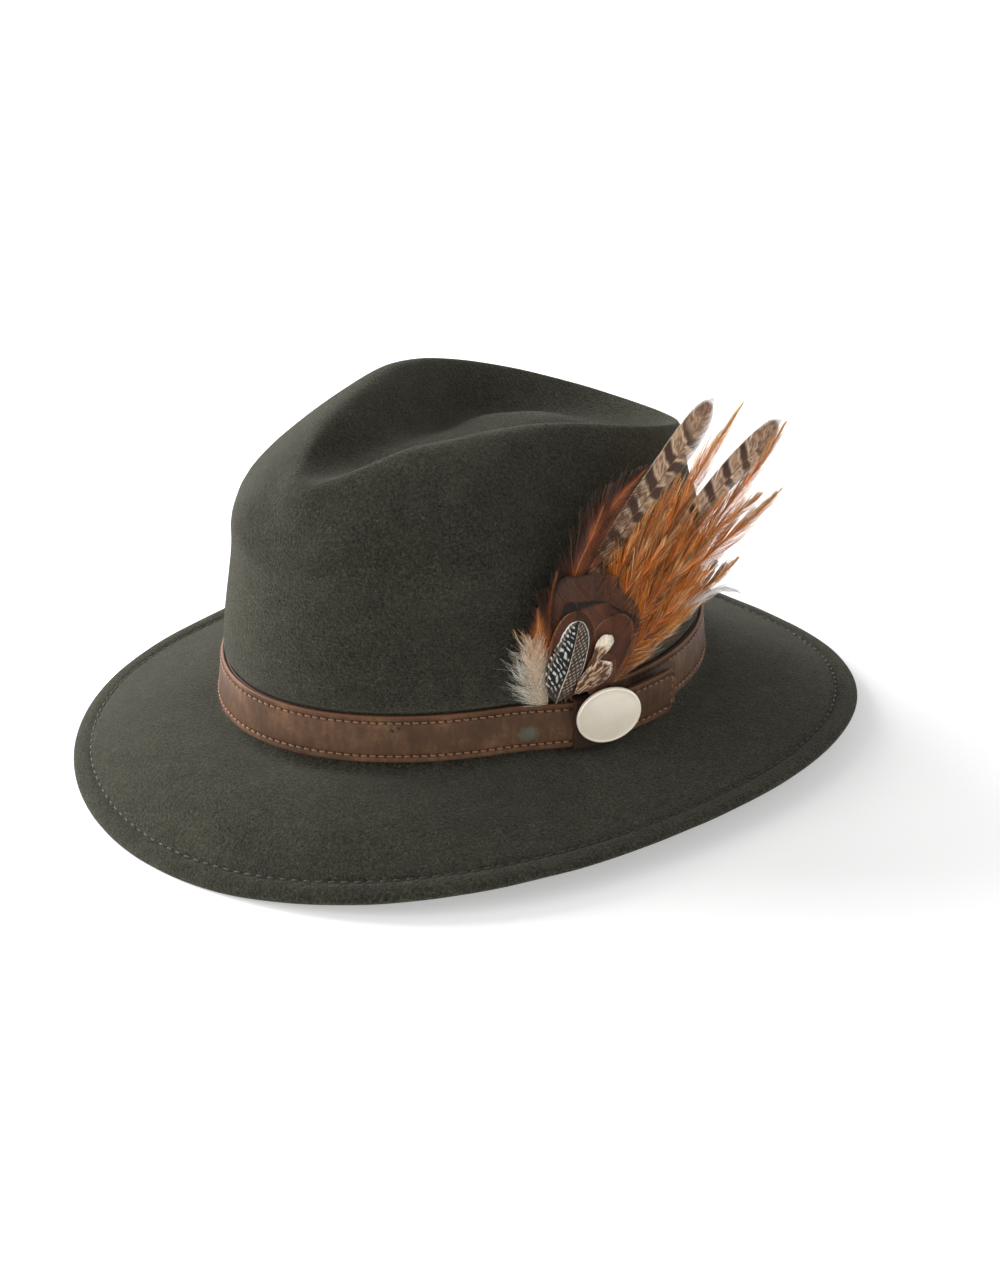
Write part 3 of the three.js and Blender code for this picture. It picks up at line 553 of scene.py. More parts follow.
def feather_material(name, rough=0.5, sheen=0.2, var=0.35):
    m, nt, b = material(name)
    a = nt.nodes.new("ShaderNodeVertexColor"); a.layer_name = "tint"
    obj = coords(nt)
    f = noise(nt, obj, 1400, 3, 0.7)
    k = nt.nodes.new("ShaderNodeMapRange")
    k.inputs["From Min"].default_value = 0.25; k.inputs["From Max"].default_value = 0.75
    k.inputs["To Min"].default_value = 1 - var; k.inputs["To Max"].default_value = 1 + var
    link(nt, f, k.inputs["Value"])
    h = nt.nodes.new("ShaderNodeVectorMath"); h.operation = "SCALE"
    link(nt, a.outputs["Color"], h.inputs[0]); link(nt, k.outputs["Result"], h.inputs["Scale"])
    link(nt, h.outputs[0], b.inputs["Base Color"])
    b.inputs["Roughness"].default_value = rough
    b.inputs["Specular IOR Level"].default_value = 0.25
    b.inputs["Sheen Weight"].default_value = sheen
    b.inputs["Sheen Roughness"].default_value = 0.4
    return m


MAT["barred"] = feather_material("feather_barred", 0.55, 0.05, 0.18)
MAT["ginger"] = feather_material("feather_ginger", 0.45, 0.0, 0.30)
MAT["darkf"] = feather_material("feather_dark", 0.45, 0.0, 0.30)
MAT["cream"] = feather_material("feather_cream", 0.62, 0.25, 0.16)
MAT["spotted"] = feather_material("feather_spotted", 0.46, 0.10, 0.12)
MAT["greyf"] = feather_material("feather_grey", 0.55, 0.20, 0.15)

# ----------------------------------------------------------------- felt body
NT = 480
TT = np.arange(NT) * TAU / NT


def brim_section(T):
    w, ze, s = cos_series(BRIM_W, T), cos_series(BRIM_Z, T), cos_series(BRIM_S, T)
    u1, z1, u0, z0 = w - WELT_W * np.cos(s), ze + WELT_W * np.sin(s), 1.2, -0.2
    m1 = -np.tan(s)
    m0 = 2 * (z1 - z0) / (u1 - u0) - m1
    return w, ze, s, u0, z0, u1, z1, m0, m1


SEC = brim_section(TT)


def brim_row(f, sec=SEC, T=TT):
    w, ze, s, u0, z0, u1, z1, m0, m1 = sec
    h, f2, f3 = u1 - u0, f * f, f ** 3
    return at(T, u0 + h * f, z0 * (2 * f3 - 3 * f2 + 1) + m0 * h * (f3 - 2 * f2 + f) + z1 * (3 * f2 - 2 * f3) + m1 * h * (f3 - f2))


def welt_point(T, sec, d, h):
    w, ze, s = sec[0], sec[1], sec[2]
    return at(T, w - d * np.cos(s) + h * np.sin(s), ze + d * np.sin(s) + h * np.cos(s))


def crown_rows(ts):
    x, y, _, _ = oval(TT)
    ang, RB = np.arctan2(x, -(y - CROWN_CY)), np.hypot(x, y - CROWN_CY)
    rc, zc, rv, zv, wi, f1 = ridge_r(ang), ridge_z(ang), crease_r(ang), crease_z(ang), wall_in(ang), shoulder(ang)
    rw, top = RB - wi, zc * 1.02 + 3.15
    z = np.zeros_like(rw)
    ctrl = [(RB - 2.8, z + 25), (RB - 2.6, z + 33), (RB - 2.4 - 0.45 * (wi - 2.4), z + 50), (rw, z + 72),
            (rw + (rc - rw) * f1, zc * 0.75), (rw + (rc - rw) * 0.80, top), (rc * 0.97, top - 0.1 * (zc - zv)),
            (rc + (rv - rc) * 0.55, zv + (zc - zv) * 0.45), (rv, zv - 1.0),
            (rv * 0.62, zv + (DOME_Z - zv) * 0.75), (rv * 0.25, z + DOME_Z), (z, z + DOME_Z)]
    R, Z = np.stack([c[0] for c in ctrl]), np.stack([c[1] for c in ctrl])
    W = bspline_weights(len(ctrl), ts)
    r, zz = W @ R, W @ Z
    return np.stack([r * np.sin(ang), CROWN_CY - r * np.cos(ang), zz], -1)


def catmull(rows, steps):
    """Rows of points joined by a smooth line, with this many steps between two rows."""
    rows = [np.asarray(r) for r in rows]
    ext = [2 * rows[0] - rows[1]] + rows + [2 * rows[-1] - rows[-2]]
    out = []
    for i in range(1, len(ext) - 2):
        p0, p1, p2, p3 = ext[i - 1:i + 3]
        d1 = np.sqrt(np.linalg.norm(p1 - p0, axis=-1, keepdims=True)) + 1e-6
        d2 = np.sqrt(np.linalg.norm(p2 - p1, axis=-1, keepdims=True)) + 1e-6
        d3 = np.sqrt(np.linalg.norm(p3 - p2, axis=-1, keepdims=True)) + 1e-6
        m1 = (p2 - p1) + d2 * ((p1 - p0) / d1 - (p2 - p0) / (d1 + d2))
        m2 = (p2 - p1) + d2 * ((p3 - p2) / d3 - (p3 - p1) / (d2 + d3))
        for k in range(steps):
            t = k / steps
            out.append((2 * t ** 3 - 3 * t ** 2 + 1) * p1 + (t ** 3 - 2 * t ** 2 + t) * m1 + (3 * t ** 2 - 2 * t ** 3) * p2 + (t ** 3 - t ** 2) * m2)
    out.append(rows[-1])
    return out


crown_t = np.concatenate([np.linspace(0.975, 0.80, 16), np.linspace(0.788, 0.34, 46), np.linspace(0.325, 0.0, 16)])
CR = crown_rows(crown_t)
low_wall = [at(TT, -3.0 - 1.65 * k * waist(TT), z) for z, k in ((22.3, 1), (13.5, 0.55), (4.2, 0))]
low_wall += [at(TT, u, z) for u, z in ((-2.6, 2.4), (-1.4, 0.95))]
mid_rows = catmull([CR[-2], CR[-1]] + low_wall + [brim_row(0.0), brim_row(0.12)], 3)[4:-1]
fs = np.linspace(0.12, 1.0, 20)
brim_rows = [brim_row(f) for f in fs[:-1]]
# a soft dip where the stitches draw the felt in, then the puffed welt
WELT = [(12.2, 0.05), (11.0, 0.0), (10.1, -0.25), (9.25, -0.62), (8.6, -0.40), (7.9, 0.30), (7.0, 0.86), (5.6, 1.28), (3.9, 1.48), (2.3, 1.42),
        (1.15, 1.08), (0.42, 0.52), (0.05, -0.2), (0.12, -0.9), (0.55, -1.45), (1.3, -1.92), (2.4, -2.28), (3.9, -2.55),
        (6.3, -2.95), (8.2, -3.18), (9.25, -3.62), (10.2, -3.38), (11.1, -3.45), (11.45, -3.1), (11.3, -2.45)]
# drop the brim rows that the welt's own first rows stand for
flat_in = SEC[5] - SEC[3]
keep = [r for f, r in zip(fs[:-1], brim_rows) if (1 - f) * float(np.mean(flat_in)) > 3.6]
brim_rows = keep
stitch_n = 192
welt_rows = []
arc_b = None
for d, h in WELT:
    pull = 0.0
    P = welt_point(TT, SEC, d, h)
    if d > 9.25 and h > -1:       # on the brim's own curve
        f = 1 - (d - WELT_W) * np.cos(SEC[2]) / flat_in
        P = brim_row(f)
        P[:, 2] += h
    welt_rows.append(P)
outer = list(CR) + mid_rows + brim_rows + welt_rows
n_out = len(CR) + len(mid_rows) + len(brim_rows)


def row_normals(rows):
    A = np.stack(rows)
    dr = np.empty_like(A)
    dr[1:-1] = A[:-2] - A[2:]; dr[0] = A[0] - A[1]; dr[-1] = A[-2] - A[-1]
    dc = np.roll(A, -1, 1) - np.roll(A, 1, 1)
    n = np.cross(dc, dr)
    return n / (np.linalg.norm(n, axis=-1, keepdims=True) + 1e-12)


base_rows = list(CR) + mid_rows + brim_rows
NB = row_normals(base_rows)
inner_rows = []
idx = list(range(n_out - 1, len(CR) - 1, -1))[::2] + list(range(len(CR) - 1, -1, -1))[::2]
for i in idx:
    inner_rows.append(base_rows[i] - FELT_T * NB[i])
if idx[-1] != 0:
    inner_rows.append(base_rows[0] - FELT_T * NB[0])
rows = outer + inner_rows
V = np.concatenate(rows)
apex = np.array([[0, CROWN_CY, DOME_Z + 0.05], [0, CROWN_CY, DOME_Z + 0.05 - FELT_T]])
# slight unevenness of blocked felt
V0 = V.copy()
ang = np.arctan2(V0[:, 0], -(V0[:, 1] - CROWN_CY))
wob = 0.35 * noise2(V0[:, 0] / 34 + 7, V0[:, 1] / 34 + V0[:, 2] / 41, 11) + 0.16 * noise2(V0[:, 0] / 13, V0[:, 1] / 13 + V0[:, 2] / 17, 12)
amt = smooth((np.abs(V0[:, 2] - 13) - 11) / 14)
V[:, 2] += wob * amt * 0.8
V = np.vstack([V, apex])
M = len(rows)
# the felt's own length and height, in tenths of a metre, for the nap's direction
seg = np.concatenate([[0], np.cumsum([float(np.mean(np.linalg.norm(rows[i + 1] - rows[i], axis=1))) for i in range(M - 1)])]) / 100
uu = np.repeat((np.arange(NT) / NT * 6.2)[None], M, 0)
vv = np.repeat(seg[:, None], NT, 1)
UV = np.vstack([np.stack([uu, vv], -1).reshape(-1, 2), [[0, 0], [0, float(seg[-1])]]])
P = place(V)
P[:, 2] = np.maximum(P[:, 2], 0.0)
k = np.arange(NT)
felt_faces = [grid_faces(M, NT, True, False),
              np.stack([np.full(NT, M * NT), k, (k + 1) % NT], -1),
              np.stack([np.full(NT, M * NT + 1), (M - 1) * NT + (k + 1) % NT, (M - 1) * NT + k], -1)]
felt = new_mesh("felt_hood", P, felt_faces, "hat", MAT["felt"], ["felt_body"], uv=UV)

# -------------------------------------------------------------- brim stitches
def brim_stitches(name, nodes, d, h, flip):
    Ts = np.linspace(0, TAU, 4001)
    sec = brim_section(Ts)
    C = welt_point(Ts, sec, d, h)
    L = np.concatenate([[0], np.cumsum(np.linalg.norm(np.diff(C, axis=0), axis=1))])
    n = int(round(L[-1] / 4.9))
    mids = (np.arange(n) + 0.5) * L[-1] / n
    Tm = np.interp(mids, L, Ts)
    sm = brim_section(Tm)
    c = welt_point(Tm, sm, d, h)
    t = welt_point(Tm + 1e-3, brim_section(Tm + 1e-3), d, h) - c
    t /= np.linalg.norm(t, axis=1)[:, None]
    up = welt_point(Tm, sm, d, h + 1) - c
    up /= np.linalg.norm(up, axis=1)[:, None]
    rng = np.random.default_rng(5 + int(flip))
    c = c + up * rng.uniform(-0.06, 0.04, (n, 1))
    t = t + np.cross(t, up) * rng.uniform(-0.05, 0.05, (n, 1))
    if flip:
        up = -up
    Vc, F = capsules(c, t, up, 3.5, 0.42, 8, 9, sag=0.55)
    return new_mesh(name, place(Vc), F, "hat", MAT["felt_thread"], nodes)


brim_stitches("brim_seam_top", ["brim_stitch_top"], 9.25, -0.22, False)
brim_stitches("brim_seam_under", ["brim_stitch_under"], 9.25, -3.86, True)


# --------------------------------------------------------------------- strap
def lift_at(A):
    return smooth((A - LIFT_FROM) / (LIFT_FULL - LIFT_FROM))


def strap_point(A, inset, h):
    """A in degrees round the hat, inset from the outer face, h up from the lower edge."""
    A, inset, h = np.broadcast_arrays(np.asarray(A, float), np.asarray(inset, float), np.asarray(h, float))
    L, v = lift_at(A), h / BAND_H
    u = LIFT_LOW * L * (1 - v) + (LIFT_TOP * L - BAND_TAPER) * v - inset
    return at(A * RAD, u, BAND_Z - TAIL_DROP * L + h)


def strap_section(t, crown=0.14, roll=0.45):
    """Closed section of the leather: (inset, height) with rolled edges and sewn channels."""
    H = BAND_H
    face = [(t * 0.55, 0.0), (0.42, 0.02), (0.12, 0.22), (0.0, 0.55), (-0.02, 1.1), (0.05, 1.8), (0.24, 2.25), (0.30, ROW_IN), (0.24, 2.95), (0.06, 3.5), (-0.04, 4.6), (-crown * 0.8, 7.0), (-crown, H / 2)]
    other = [(i, H - h) for i, h in face[::-1][1:]]
    back = [(t, H - 0.25), (t, H * 0.66), (t, H * 0.33), (t, 0.25)]
    return np.array(face + other + back)


def strap_layer(name, A0, A1, sec, nodes, mat, clip0=0.0, uvs=True, step=0.6):
    n = int(abs(A0 - A1) / step) + 1
    As = np.linspace(A0, A1, n)
    extra = [angle_at(arc(A0) - x) for x in (0.15, 0.4, 0.8, 1.3, 2.0, 2.7, 3.4)]
    As = np.sort(np.concatenate([As, extra]))[::-1]
    m = len(sec)
    e = arc(A0) - arc(As)
    rows = []
    hh = np.repeat(sec[None, :, 1], len(As), 0)
    ins = np.repeat(sec[None, :, 0], len(As), 0)
    if clip0 > 0:          # outer corners cut off at the tail's end
        c = np.maximum(0.0, clip0 - e)
        lo, hi = c[:, None], BAND_H - c[:, None]
        hh = lo + (hi - lo) * hh / BAND_H
    # edges draw in a little at the very ends
    edge = np.clip(e / 0.5, 0, 1)
    ins = ins + ((1 - edge) * 0.25)[:, None] * (sec[None, :, 0] < 0.7)
    P = strap_point(As[:, None], ins, hh)
    faces = [grid_faces(len(As), m, True, False),
             np.arange(m)[None, ::-1] * 1, (np.arange(m) + (len(As) - 1) * m)[None, :]]
    U = np.stack([np.repeat((arc(As) / 100)[:, None], m, 1), hh / 100], -1).reshape(-1, 2)
    return new_mesh(name, place(P), faces, "hat", mat, nodes, uv=U)


strap_layer("strap_leather", TAIL_END, UNDER_START - 360, strap_section(LEATHER_T), ["hatband_leather"], MAT["strap"], clip0=3.4)
bsec = np.array([(LEATHER_T + GAP, 0.25), (LEATHER_T + GAP - 0.12, 0.9), (LEATHER_T + GAP - 0.12, 9.3), (LEATHER_T + GAP - 0.12, 17.7), (LEATHER_T + GAP, 18.35),
                 (BAND_T - 0.15, 18.4), (BAND_T, 17.9), (BAND_T, 9.3), (BAND_T, 0.7), (BAND_T - 0.15, 0.2)])
strap_layer("strap_backing", TAIL_END - 0.3, UNDER_START - 359.7, bsec, ["hatband_backing"], MAT["backing"], clip0=3.4, step=1.2)


def strap_row(name, nodes, A_hi, A_lo, h, mat="thread"):
    """A run of stitches between two places, on the strap's own spacing."""
    a0, a1 = float(arc(A_lo)), float(arc(A_hi))
    k0, k1 = math.ceil(a0 / STITCH + 0.4), math.floor(a1 / STITCH - 0.4)
    mm = np.arange(k0, k1 + 1) * STITCH
    A = angle_at(mm)
    c = strap_point(A, -0.02, h)
    t = strap_point(angle_at(mm + 0.2), -0.02, h) - strap_point(angle_at(mm - 0.2), -0.02, h)
    t /= np.linalg.norm(t, axis=1)[:, None]
    up = strap_point(A, -1.02, h) - c
    up -= t * np.sum(up * t, 1)[:, None]
    up /= np.linalg.norm(up, axis=1)[:, None]
    rng = np.random.default_rng(int(h * 10) + k0)
    t = t + np.cross(t, up) * rng.uniform(-0.04, 0.10, (len(c), 1))
    Vc, F = capsules(c, t, up, 2.5, 0.33, 8, 9, sag=0.42)
    return new_mesh(name, place(Vc), F, "hat", MAT[mat], nodes)


strap_row("strap_seam_upper", ["hatband_stitch_upper"], KEEPER_FROM - 0.5, TAIL_END - 359, BAND_H - ROW_IN)
strap_row("strap_seam_lower", ["hatband_stitch_lower"], KEEPER_FROM - 0.5, TAIL_END - 359, ROW_IN)
strap_row("strap_seam_upper_tail", ["hatband_stitch_upper_tail"], TAIL_END - 1.9, KEEPER_TO + 0.4, BAND_H - ROW_IN)
strap_row("strap_seam_lower_tail", ["hatband_stitch_lower_tail"], TAIL_END - 1.9, KEEPER_TO + 0.4, ROW_IN)


def few_stitches(name, nodes, pts, length, r=0.33, mat="thread"):
    """Stitches at chosen places: (A, h, direction along A, direction up)."""
    c, t, up = [], [], []
    for A, h, da, dh in pts:
        p = strap_point(A, -0.03, h)
        ta = strap_point(angle_at(arc(A) + 0.2), -0.03, h) - strap_point(angle_at(arc(A) - 0.2), -0.03, h)
        ta /= np.linalg.norm(ta)
        th = strap_point(A, -0.03, h + 0.5) - strap_point(A, -0.03, h - 0.5)
        th /= np.linalg.norm(th)
        d = ta * da + th * dh
        n = strap_point(A, -1.03, h) - p
        n -= d * float(n @ d) / float(d @ d)
        c.append(p); t.append(d / np.linalg.norm(d)); up.append(n / np.linalg.norm(n))
    Vc, F = capsules(np.array(c), np.array(t), np.array(up), length, r, 8, 9, sag=0.42)
    return new_mesh(name, place(Vc), F, "hat", MAT[mat], nodes)


Ae = float(angle_at(ARC_END - 2.9))
few_stitches("strap_seam_tail_end", ["hatband_stitch_tail_end"], [(Ae, h, 0.0, 1.0) for h in (4.6, 7.75, 10.9, 14.0)], 2.3)
few_stitches("strap_tack_front", ["hatband_tack_front"], [(38.9, 13.0, -0.9, 0.7)], 1.9, 0.55, "dark_thread")
few_stitches("strap_tack_side", ["hatband_tack_side"], [(40.4, 13.9, -0.9, 0.5)], 1.7, 0.55, "dark_thread")

# -------------------------------------------------------------------- keeper
def keeper():
    g, o = 0.35, KEEPER_T
    i0, i1, h0, h1 = -g, BAND_T + g, -g, BAND_H + g
    base, nrm = [], []
    rc = 0.5
    corners = [((i1 - rc, h0 + rc), 0), ((i1 - rc, h1 - rc), 90), ((i0 + rc, h1 - rc), 180), ((i0 + rc, h0 + rc), 270)]
    # run round the loop: back lower, back upper, front upper, front lower
    for (c, a0) in corners:
        for a in np.linspace(a0 - 90, a0, 6):
            base.append((c[0] + rc * math.cos(a * RAD), c[1] + rc * math.sin(a * RAD)))
            nrm.append((math.cos(a * RAD), math.sin(a * RAD)))
    pts, nn = [], []
    m = len(base)
    for j in range(m):
        pts.append(base[j]); nn.append(nrm[j])
        b2 = base[(j + 1) % m]
        dist = math.hypot(b2[0] - base[j][0], b2[1] - base[j][1])
        steps = int(dist / 1.6)
        for s in range(1, steps):
            t = s / steps
            pts.append((base[j][0] * (1 - t) + b2[0] * t, base[j][1] * (1 - t) + b2[1] * t)); nn.append(nrm[j])
    pts, nn = np.array(pts), np.array(nn)
    aL, aH = float(arc(KEEPER_FROM)), float(arc(KEEPER_TO))
    W = aH - aL
    # thin section: width along the strap and thickness, with rolled edges
    prof = [(0.0, 0.55), (0.02, 0.85), (0.25, 1.12), (0.8, 1.2), (1.6, 1.13), (2.4, 1.2)]
    prof += [(W * f, 1.24) for f in (0.25, 0.4, 0.5, 0.6, 0.75)]
    prof += [(W - 2.4, 1.2), (W - 1.6, 1.13), (W - 0.8, 1.2), (W - 0.25, 1.12), (W - 0.02, 0.85), (W, 0.55), (W - 0.02, 0.15), (W - 0.3, 0.0)]
    prof += [(W * f, 0.0) for f in (0.75, 0.5, 0.25)] + [(0.3, 0.0), (0.02, 0.15)]
    prof = np.array(prof)
    back = (nn[:, 0] > 0.5)
    P = np.empty((len(pts), len(prof), 3)); U = np.empty((len(pts), len(prof), 2))
    per = np.concatenate([[0], np.cumsum(np.linalg.norm(np.diff(pts, axis=0), axis=1))])
    for j, (b, n) in enumerate(zip(pts, nn)):
        off = prof[:, 1] * (0.66 if back[j] else 1.0)
        A = angle_at(aL + prof[:, 0])
        P[j] = strap_point(A, b[0] + n[0] * off, b[1] + n[1] * off)
        U[j] = np.stack([prof[:, 0] / 100, np.full(len(prof), per[j] / 100)], -1)
    faces = [grid_faces(len(pts), len(prof), True, True)]
    return new_mesh("keeper", place(P), faces, "hat", MAT["leather"], ["keeper_loop"], uv=U.reshape(-1, 2))


keeper()


# ----------------------------------------------------------------- medallion
def lathe(name, prof, steps, centre, axis, body, mat, nodes, close=False):
    prof = np.array(prof, float)
    z = axis / np.linalg.norm(axis)
    x = np.cross([0, 0, 1.0], z); x /= np.linalg.norm(x)
    y = np.cross(z, x)
    a = np.arange(steps) * TAU / steps
    m = len(prof)
    P = centre + prof[:, 1][:, None, None] * z + prof[:, 0][:, None, None] * (np.cos(a)[None, :, None] * x + np.sin(a)[None, :, None] * y)
    faces = [grid_faces(m, steps, True, False)]
    V = P.reshape(-1, 3)
    c0, c1 = centre + prof[0, 1] * z, centre + prof[-1, 1] * z
    n = len(V)
    V = np.vstack([V, c0, c1])
    k = np.arange(steps)
    faces += [np.stack([np.full(steps, n), k, (k + 1) % steps], -1), np.stack([np.full(steps, n + 1), (m - 1) * steps + (k + 1) % steps, (m - 1) * steps + k], -1)]
    return new_mesh(name, place(V), faces, body, mat, nodes)


R_, t_ = MED_R, MED_T
lathe("medallion", [(0.5, -t_ - 1.6), (4.1, -t_ - 1.6), (4.4, -t_ - 1.45), (4.5, -t_ - 1.2), (4.55, -t_ - 0.1), (4.7, -t_), (R_ - 0.8, -t_), (R_ - 0.35, -t_ + 0.08),
                    (R_ - 0.08, -t_ + 0.35), (R_, -t_ + 0.7), (R_, -0.62), (R_ - 0.05, -0.38), (R_ - 0.18, -0.16), (R_ - 0.4, -0.04), (R_ - 0.62, 0.0), (R_ - 0.84, -0.05),
                    (R_ - 0.98, -0.16), (R_ - 1.15, -0.21), (R_ - 2.5, -0.20), (6.0, -0.17), (0.5, -0.16)], 160, MED_C, MED_N, "hat", MAT["gold"], ["medallion_disc"])
y0 = -t_ - 1.9
lathe("medallion_rivet", [(0.4, y0 - 6.4), (1.6, y0 - 6.4), (1.85, y0 - 6.2), (1.9, y0 - 5.9), (1.9, y0 - 0.5), (2.9, y0 - 0.42), (3.0, y0 - 0.3), (3.0, y0 - 0.05), (2.9, y0), (0.4, y0)],
      48, MED_C, MED_N, "hat", MAT["gold"], ["medallion_stud"])


# ------------------------------------------------------------- inside fittings
def ring(name, pts, n, nodes, mat, steps=1, wrap=True):
    T = np.arange(n) * TAU / n
    pts = np.array(pts, float)
    P = np.stack([at(T, u, z) for u, z in pts], 1)      # (n, m, 3)
    m = len(pts)
    per = np.concatenate([[0], np.cumsum(np.linalg.norm(np.diff(pts, axis=0), axis=1))]) / 100
    U = np.stack([np.repeat((T / TAU * 6.0)[:, None], m, 1), np.repeat(per[None], n, 0)], -1)
    return new_mesh(name, place(P), [grid_faces(n, m, True, True, flip=True)], "hat", mat, nodes, uv=U.reshape(-1, 2))


sw = [(-5.75, -2.2), (-5.8, 0.5), (-5.95, 4.0), (-6.1, 8.0), (-6.6, 14.0), (-7.15, 19.0), (-7.5, 22.3), (-7.5, 27.0), (-7.52, 31.5), (-7.62, 32.6), (-7.9, 33.0), (-8.3, 33.0),
      (-8.55, 32.6), (-8.6, 31.5), (-8.62, 27.0), (-8.6, 22.3), (-8.25, 19.0), (-7.7, 14.0), (-7.2, 8.0), (-7.05, 4.0), (-6.95, 0.5), (-6.85, -2.0), (-6.6, -2.4), (-6.0, -2.4)]
ring("sweatband_leather", sw, 240, ["sweatband"], MAT["sweatband"])
ring("sweatband_cord", [(-6.3 + 0.95 * math.cos(a), -3.7 + 0.95 * math.sin(a)) for a in np.arange(12) * TAU / 12], 240, ["sweatband_reed"], MAT["ribbon"])


def inner_stitches():
    Ts = np.linspace(0, TAU, 4001)
    C = at(Ts, -7.2, 0.6)
    L = np.concatenate([[0], np.cumsum(np.linalg.norm(np.diff(C, axis=0), axis=1))])
    n = int(round(L[-1] / 4.2))
    T = np.interp((np.arange(n) + 0.5) * L[-1] / n, L, Ts)
    c = at(T, -7.2, 0.6)
    t = at(T + 1e-3, -7.2, 0.6) - c; t /= np.linalg.norm(t, axis=1)[:, None]
    up = at(T, -8.2, 0.6) - c; up /= np.linalg.norm(up, axis=1)[:, None]
    Vc, F = capsules(c, t, up, 3.1, 0.34, 6, 7, sag=0.3)
    return new_mesh("sweatband_seam", place(Vc), F, "hat", MAT["thread"], ["sweatband_stitch"])


inner_stitches()


def bow():
    """Flat ribbon bow: two loops and a knot, on the sweatband's back seam."""
    V, F = [], []

    def strip(path, w, th=0.22):
        path = np.array(path, float)
        base = sum(len(v) for v in V)
        tan = np.gradient(path, axis=0); tan /= np.linalg.norm(tan, axis=1)[:, None]
        n = np.stack([-tan[:, 1], tan[:, 0]], -1)
        secs = []
        for p, nn, ww in zip(path, n, w):
            # path runs in (x, depth); the ribbon's width is vertical
            secs.append([[p[0] + nn[0] * th, p[1] + nn[1] * th, ww / 2], [p[0] + nn[0] * th, p[1] + nn[1] * th, -ww / 2],
                         [p[0] - nn[0] * th, p[1] - nn[1] * th, -ww / 2], [p[0] - nn[0] * th, p[1] - nn[1] * th, ww / 2]])
        s = np.array(secs).reshape(-1, 3)
        V.append(s)
        F.append(grid_faces(len(path), 4, True, False, base=base))
        F.append(np.array([[0, 1, 2, 3]]) + base)
        F.append(np.array([[3, 2, 1, 0]]) + base + (len(path) - 1) * 4)

    for sg in (-1, 1):
        a = np.linspace(0.02, 0.98, 24)
        x = sg * (0.6 + 7.0 * np.sin(a * math.pi) ** 0.8)
        d = 0.42 * np.sin(a * TAU)
        w = 2.2 + 3.6 * np.sin(a * math.pi) ** 0.7
        strip(np.stack([x, d], -1), w, 0.12)
    a = np.linspace(0, TAU, 25)[:-1]
    strip(np.stack([1.15 * np.cos(np.append(a, a[0])), 0.62 * np.sin(np.append(a, a[0]))], -1)[:-1], np.full(24, 3.0), 0.1)
    P = np.vstack(V)
    c = np.array([0, OVAL_A - 9.35 - 0.5, 14.0])
    W = np.stack([P[:, 0], P[:, 1], P[:, 2]], -1) + c
    return new_mesh("sweatband_ribbon_bow", place(W), F, "hat", MAT["ribbon"], ["sweatband_bow"])


bow()


def label():
    """Blank woven label."""
    n, m = 24, 12
    X, Z = np.meshgrid(np.linspace(-8, 8, n), np.linspace(-4.5, 4.5, m), indexing="ij")
    bulge = 0.10 * np.cos(X / 8 * math.pi / 2) + 0.03 * noise2(X / 2, Z / 2, 3)
    T0 = 150 * RAD
    _, _, nx, ny = [float(v) for v in oval(T0)]
    tan = np.array([-ny, nx, 0.0])
    c = at(T0, -9.6, 27.0)
    nrm = np.array([nx, ny, 0.0])
    front = c + X[..., None] * tan + Z[..., None] * np.array([0, 0, 1.0]) - (0.2 + bulge)[..., None] * nrm
    backp = c + X[..., None] * tan + Z[..., None] * np.array([0, 0, 1.0]) + 0.2 * nrm
    V = np.vstack([front.reshape(-1, 3), backp.reshape(-1, 3)])
    F = [grid_faces(n, m, False, False), grid_faces(n, m, False, False, base=n * m, flip=True)]
    edge = [i * m for i in range(n)] + [(n - 1) * m + j for j in range(1, m)] + [i * m + m - 1 for i in range(n - 2, -1, -1)] + [j for j in range(m - 2, 0, -1)]
    e = np.array(edge); e2 = np.roll(e, -1)
    F.append(np.stack([e, e2, e2 + n * m, e + n * m], -1))
    return new_mesh("sweatband_blank_label", place(V), F, "hat", MAT["label"], ["size_label"])


label()

# =================================================================== feathers
fgroup = "feather_mount"


def spline(ctrl, n, order=None):
    """Even steps along a smooth line through control points; any number of columns."""
    P = np.array(ctrl, float)
    fine = np.array(catmull([p[None] for p in P], 24))[:, 0]
    L = np.concatenate([[0], np.cumsum(np.linalg.norm(np.diff(fine[:, :2], axis=0), axis=1))])
    x = np.linspace(0, L[-1], n)
    return np.stack([np.interp(x, L, fine[:, c]) for c in range(P.shape[1])], -1), L[-1]


def interp(x, table):
    t = np.array(table, float)
    return np.interp(x, t[:, 0], t[:, 1])


def mixf(a, b, t):
    t = np.clip(t, 0, 1)[..., None]
    return np.asarray(a) * (1 - t) + np.asarray(b) * t


def sides_of(ctrl, wl, wr, prof):
    """Left and right outlines for a shaft and a width profile, root to tip."""
    line, _ = spline(ctrl, 60)
    tan = np.gradient(line, axis=0); tan /= np.linalg.norm(tan, axis=1)[:, None]
    f = np.linspace(0, 1, 60)
    w = interp(f, prof)[:, None]
    nrm = np.stack([-tan[:, 1], tan[:, 0]], -1)
    L, R = line + nrm * w * wl, line - nrm * w * wr
    L[-1] = R[-1] = line[-1]
    return L[::4].tolist() + [line[-1].tolist()], R[::4].tolist() + [line[-1].tolist()]


SLIM = [(0, 0.45), (0.08, 0.75), (0.25, 1.0), (0.42, 0.98), (0.58, 0.80), (0.72, 0.56), (0.84, 0.34), (0.93, 0.17), (1.0, 0.03)]
BLUNT = [(0, 0.10), (0.1, 0.25), (0.3, 0.56), (0.5, 0.76), (0.7, 0.93), (0.82, 1.0), (0.90, 0.96), (0.955, 0.74), (0.985, 0.45), (1.0, 0.10)]


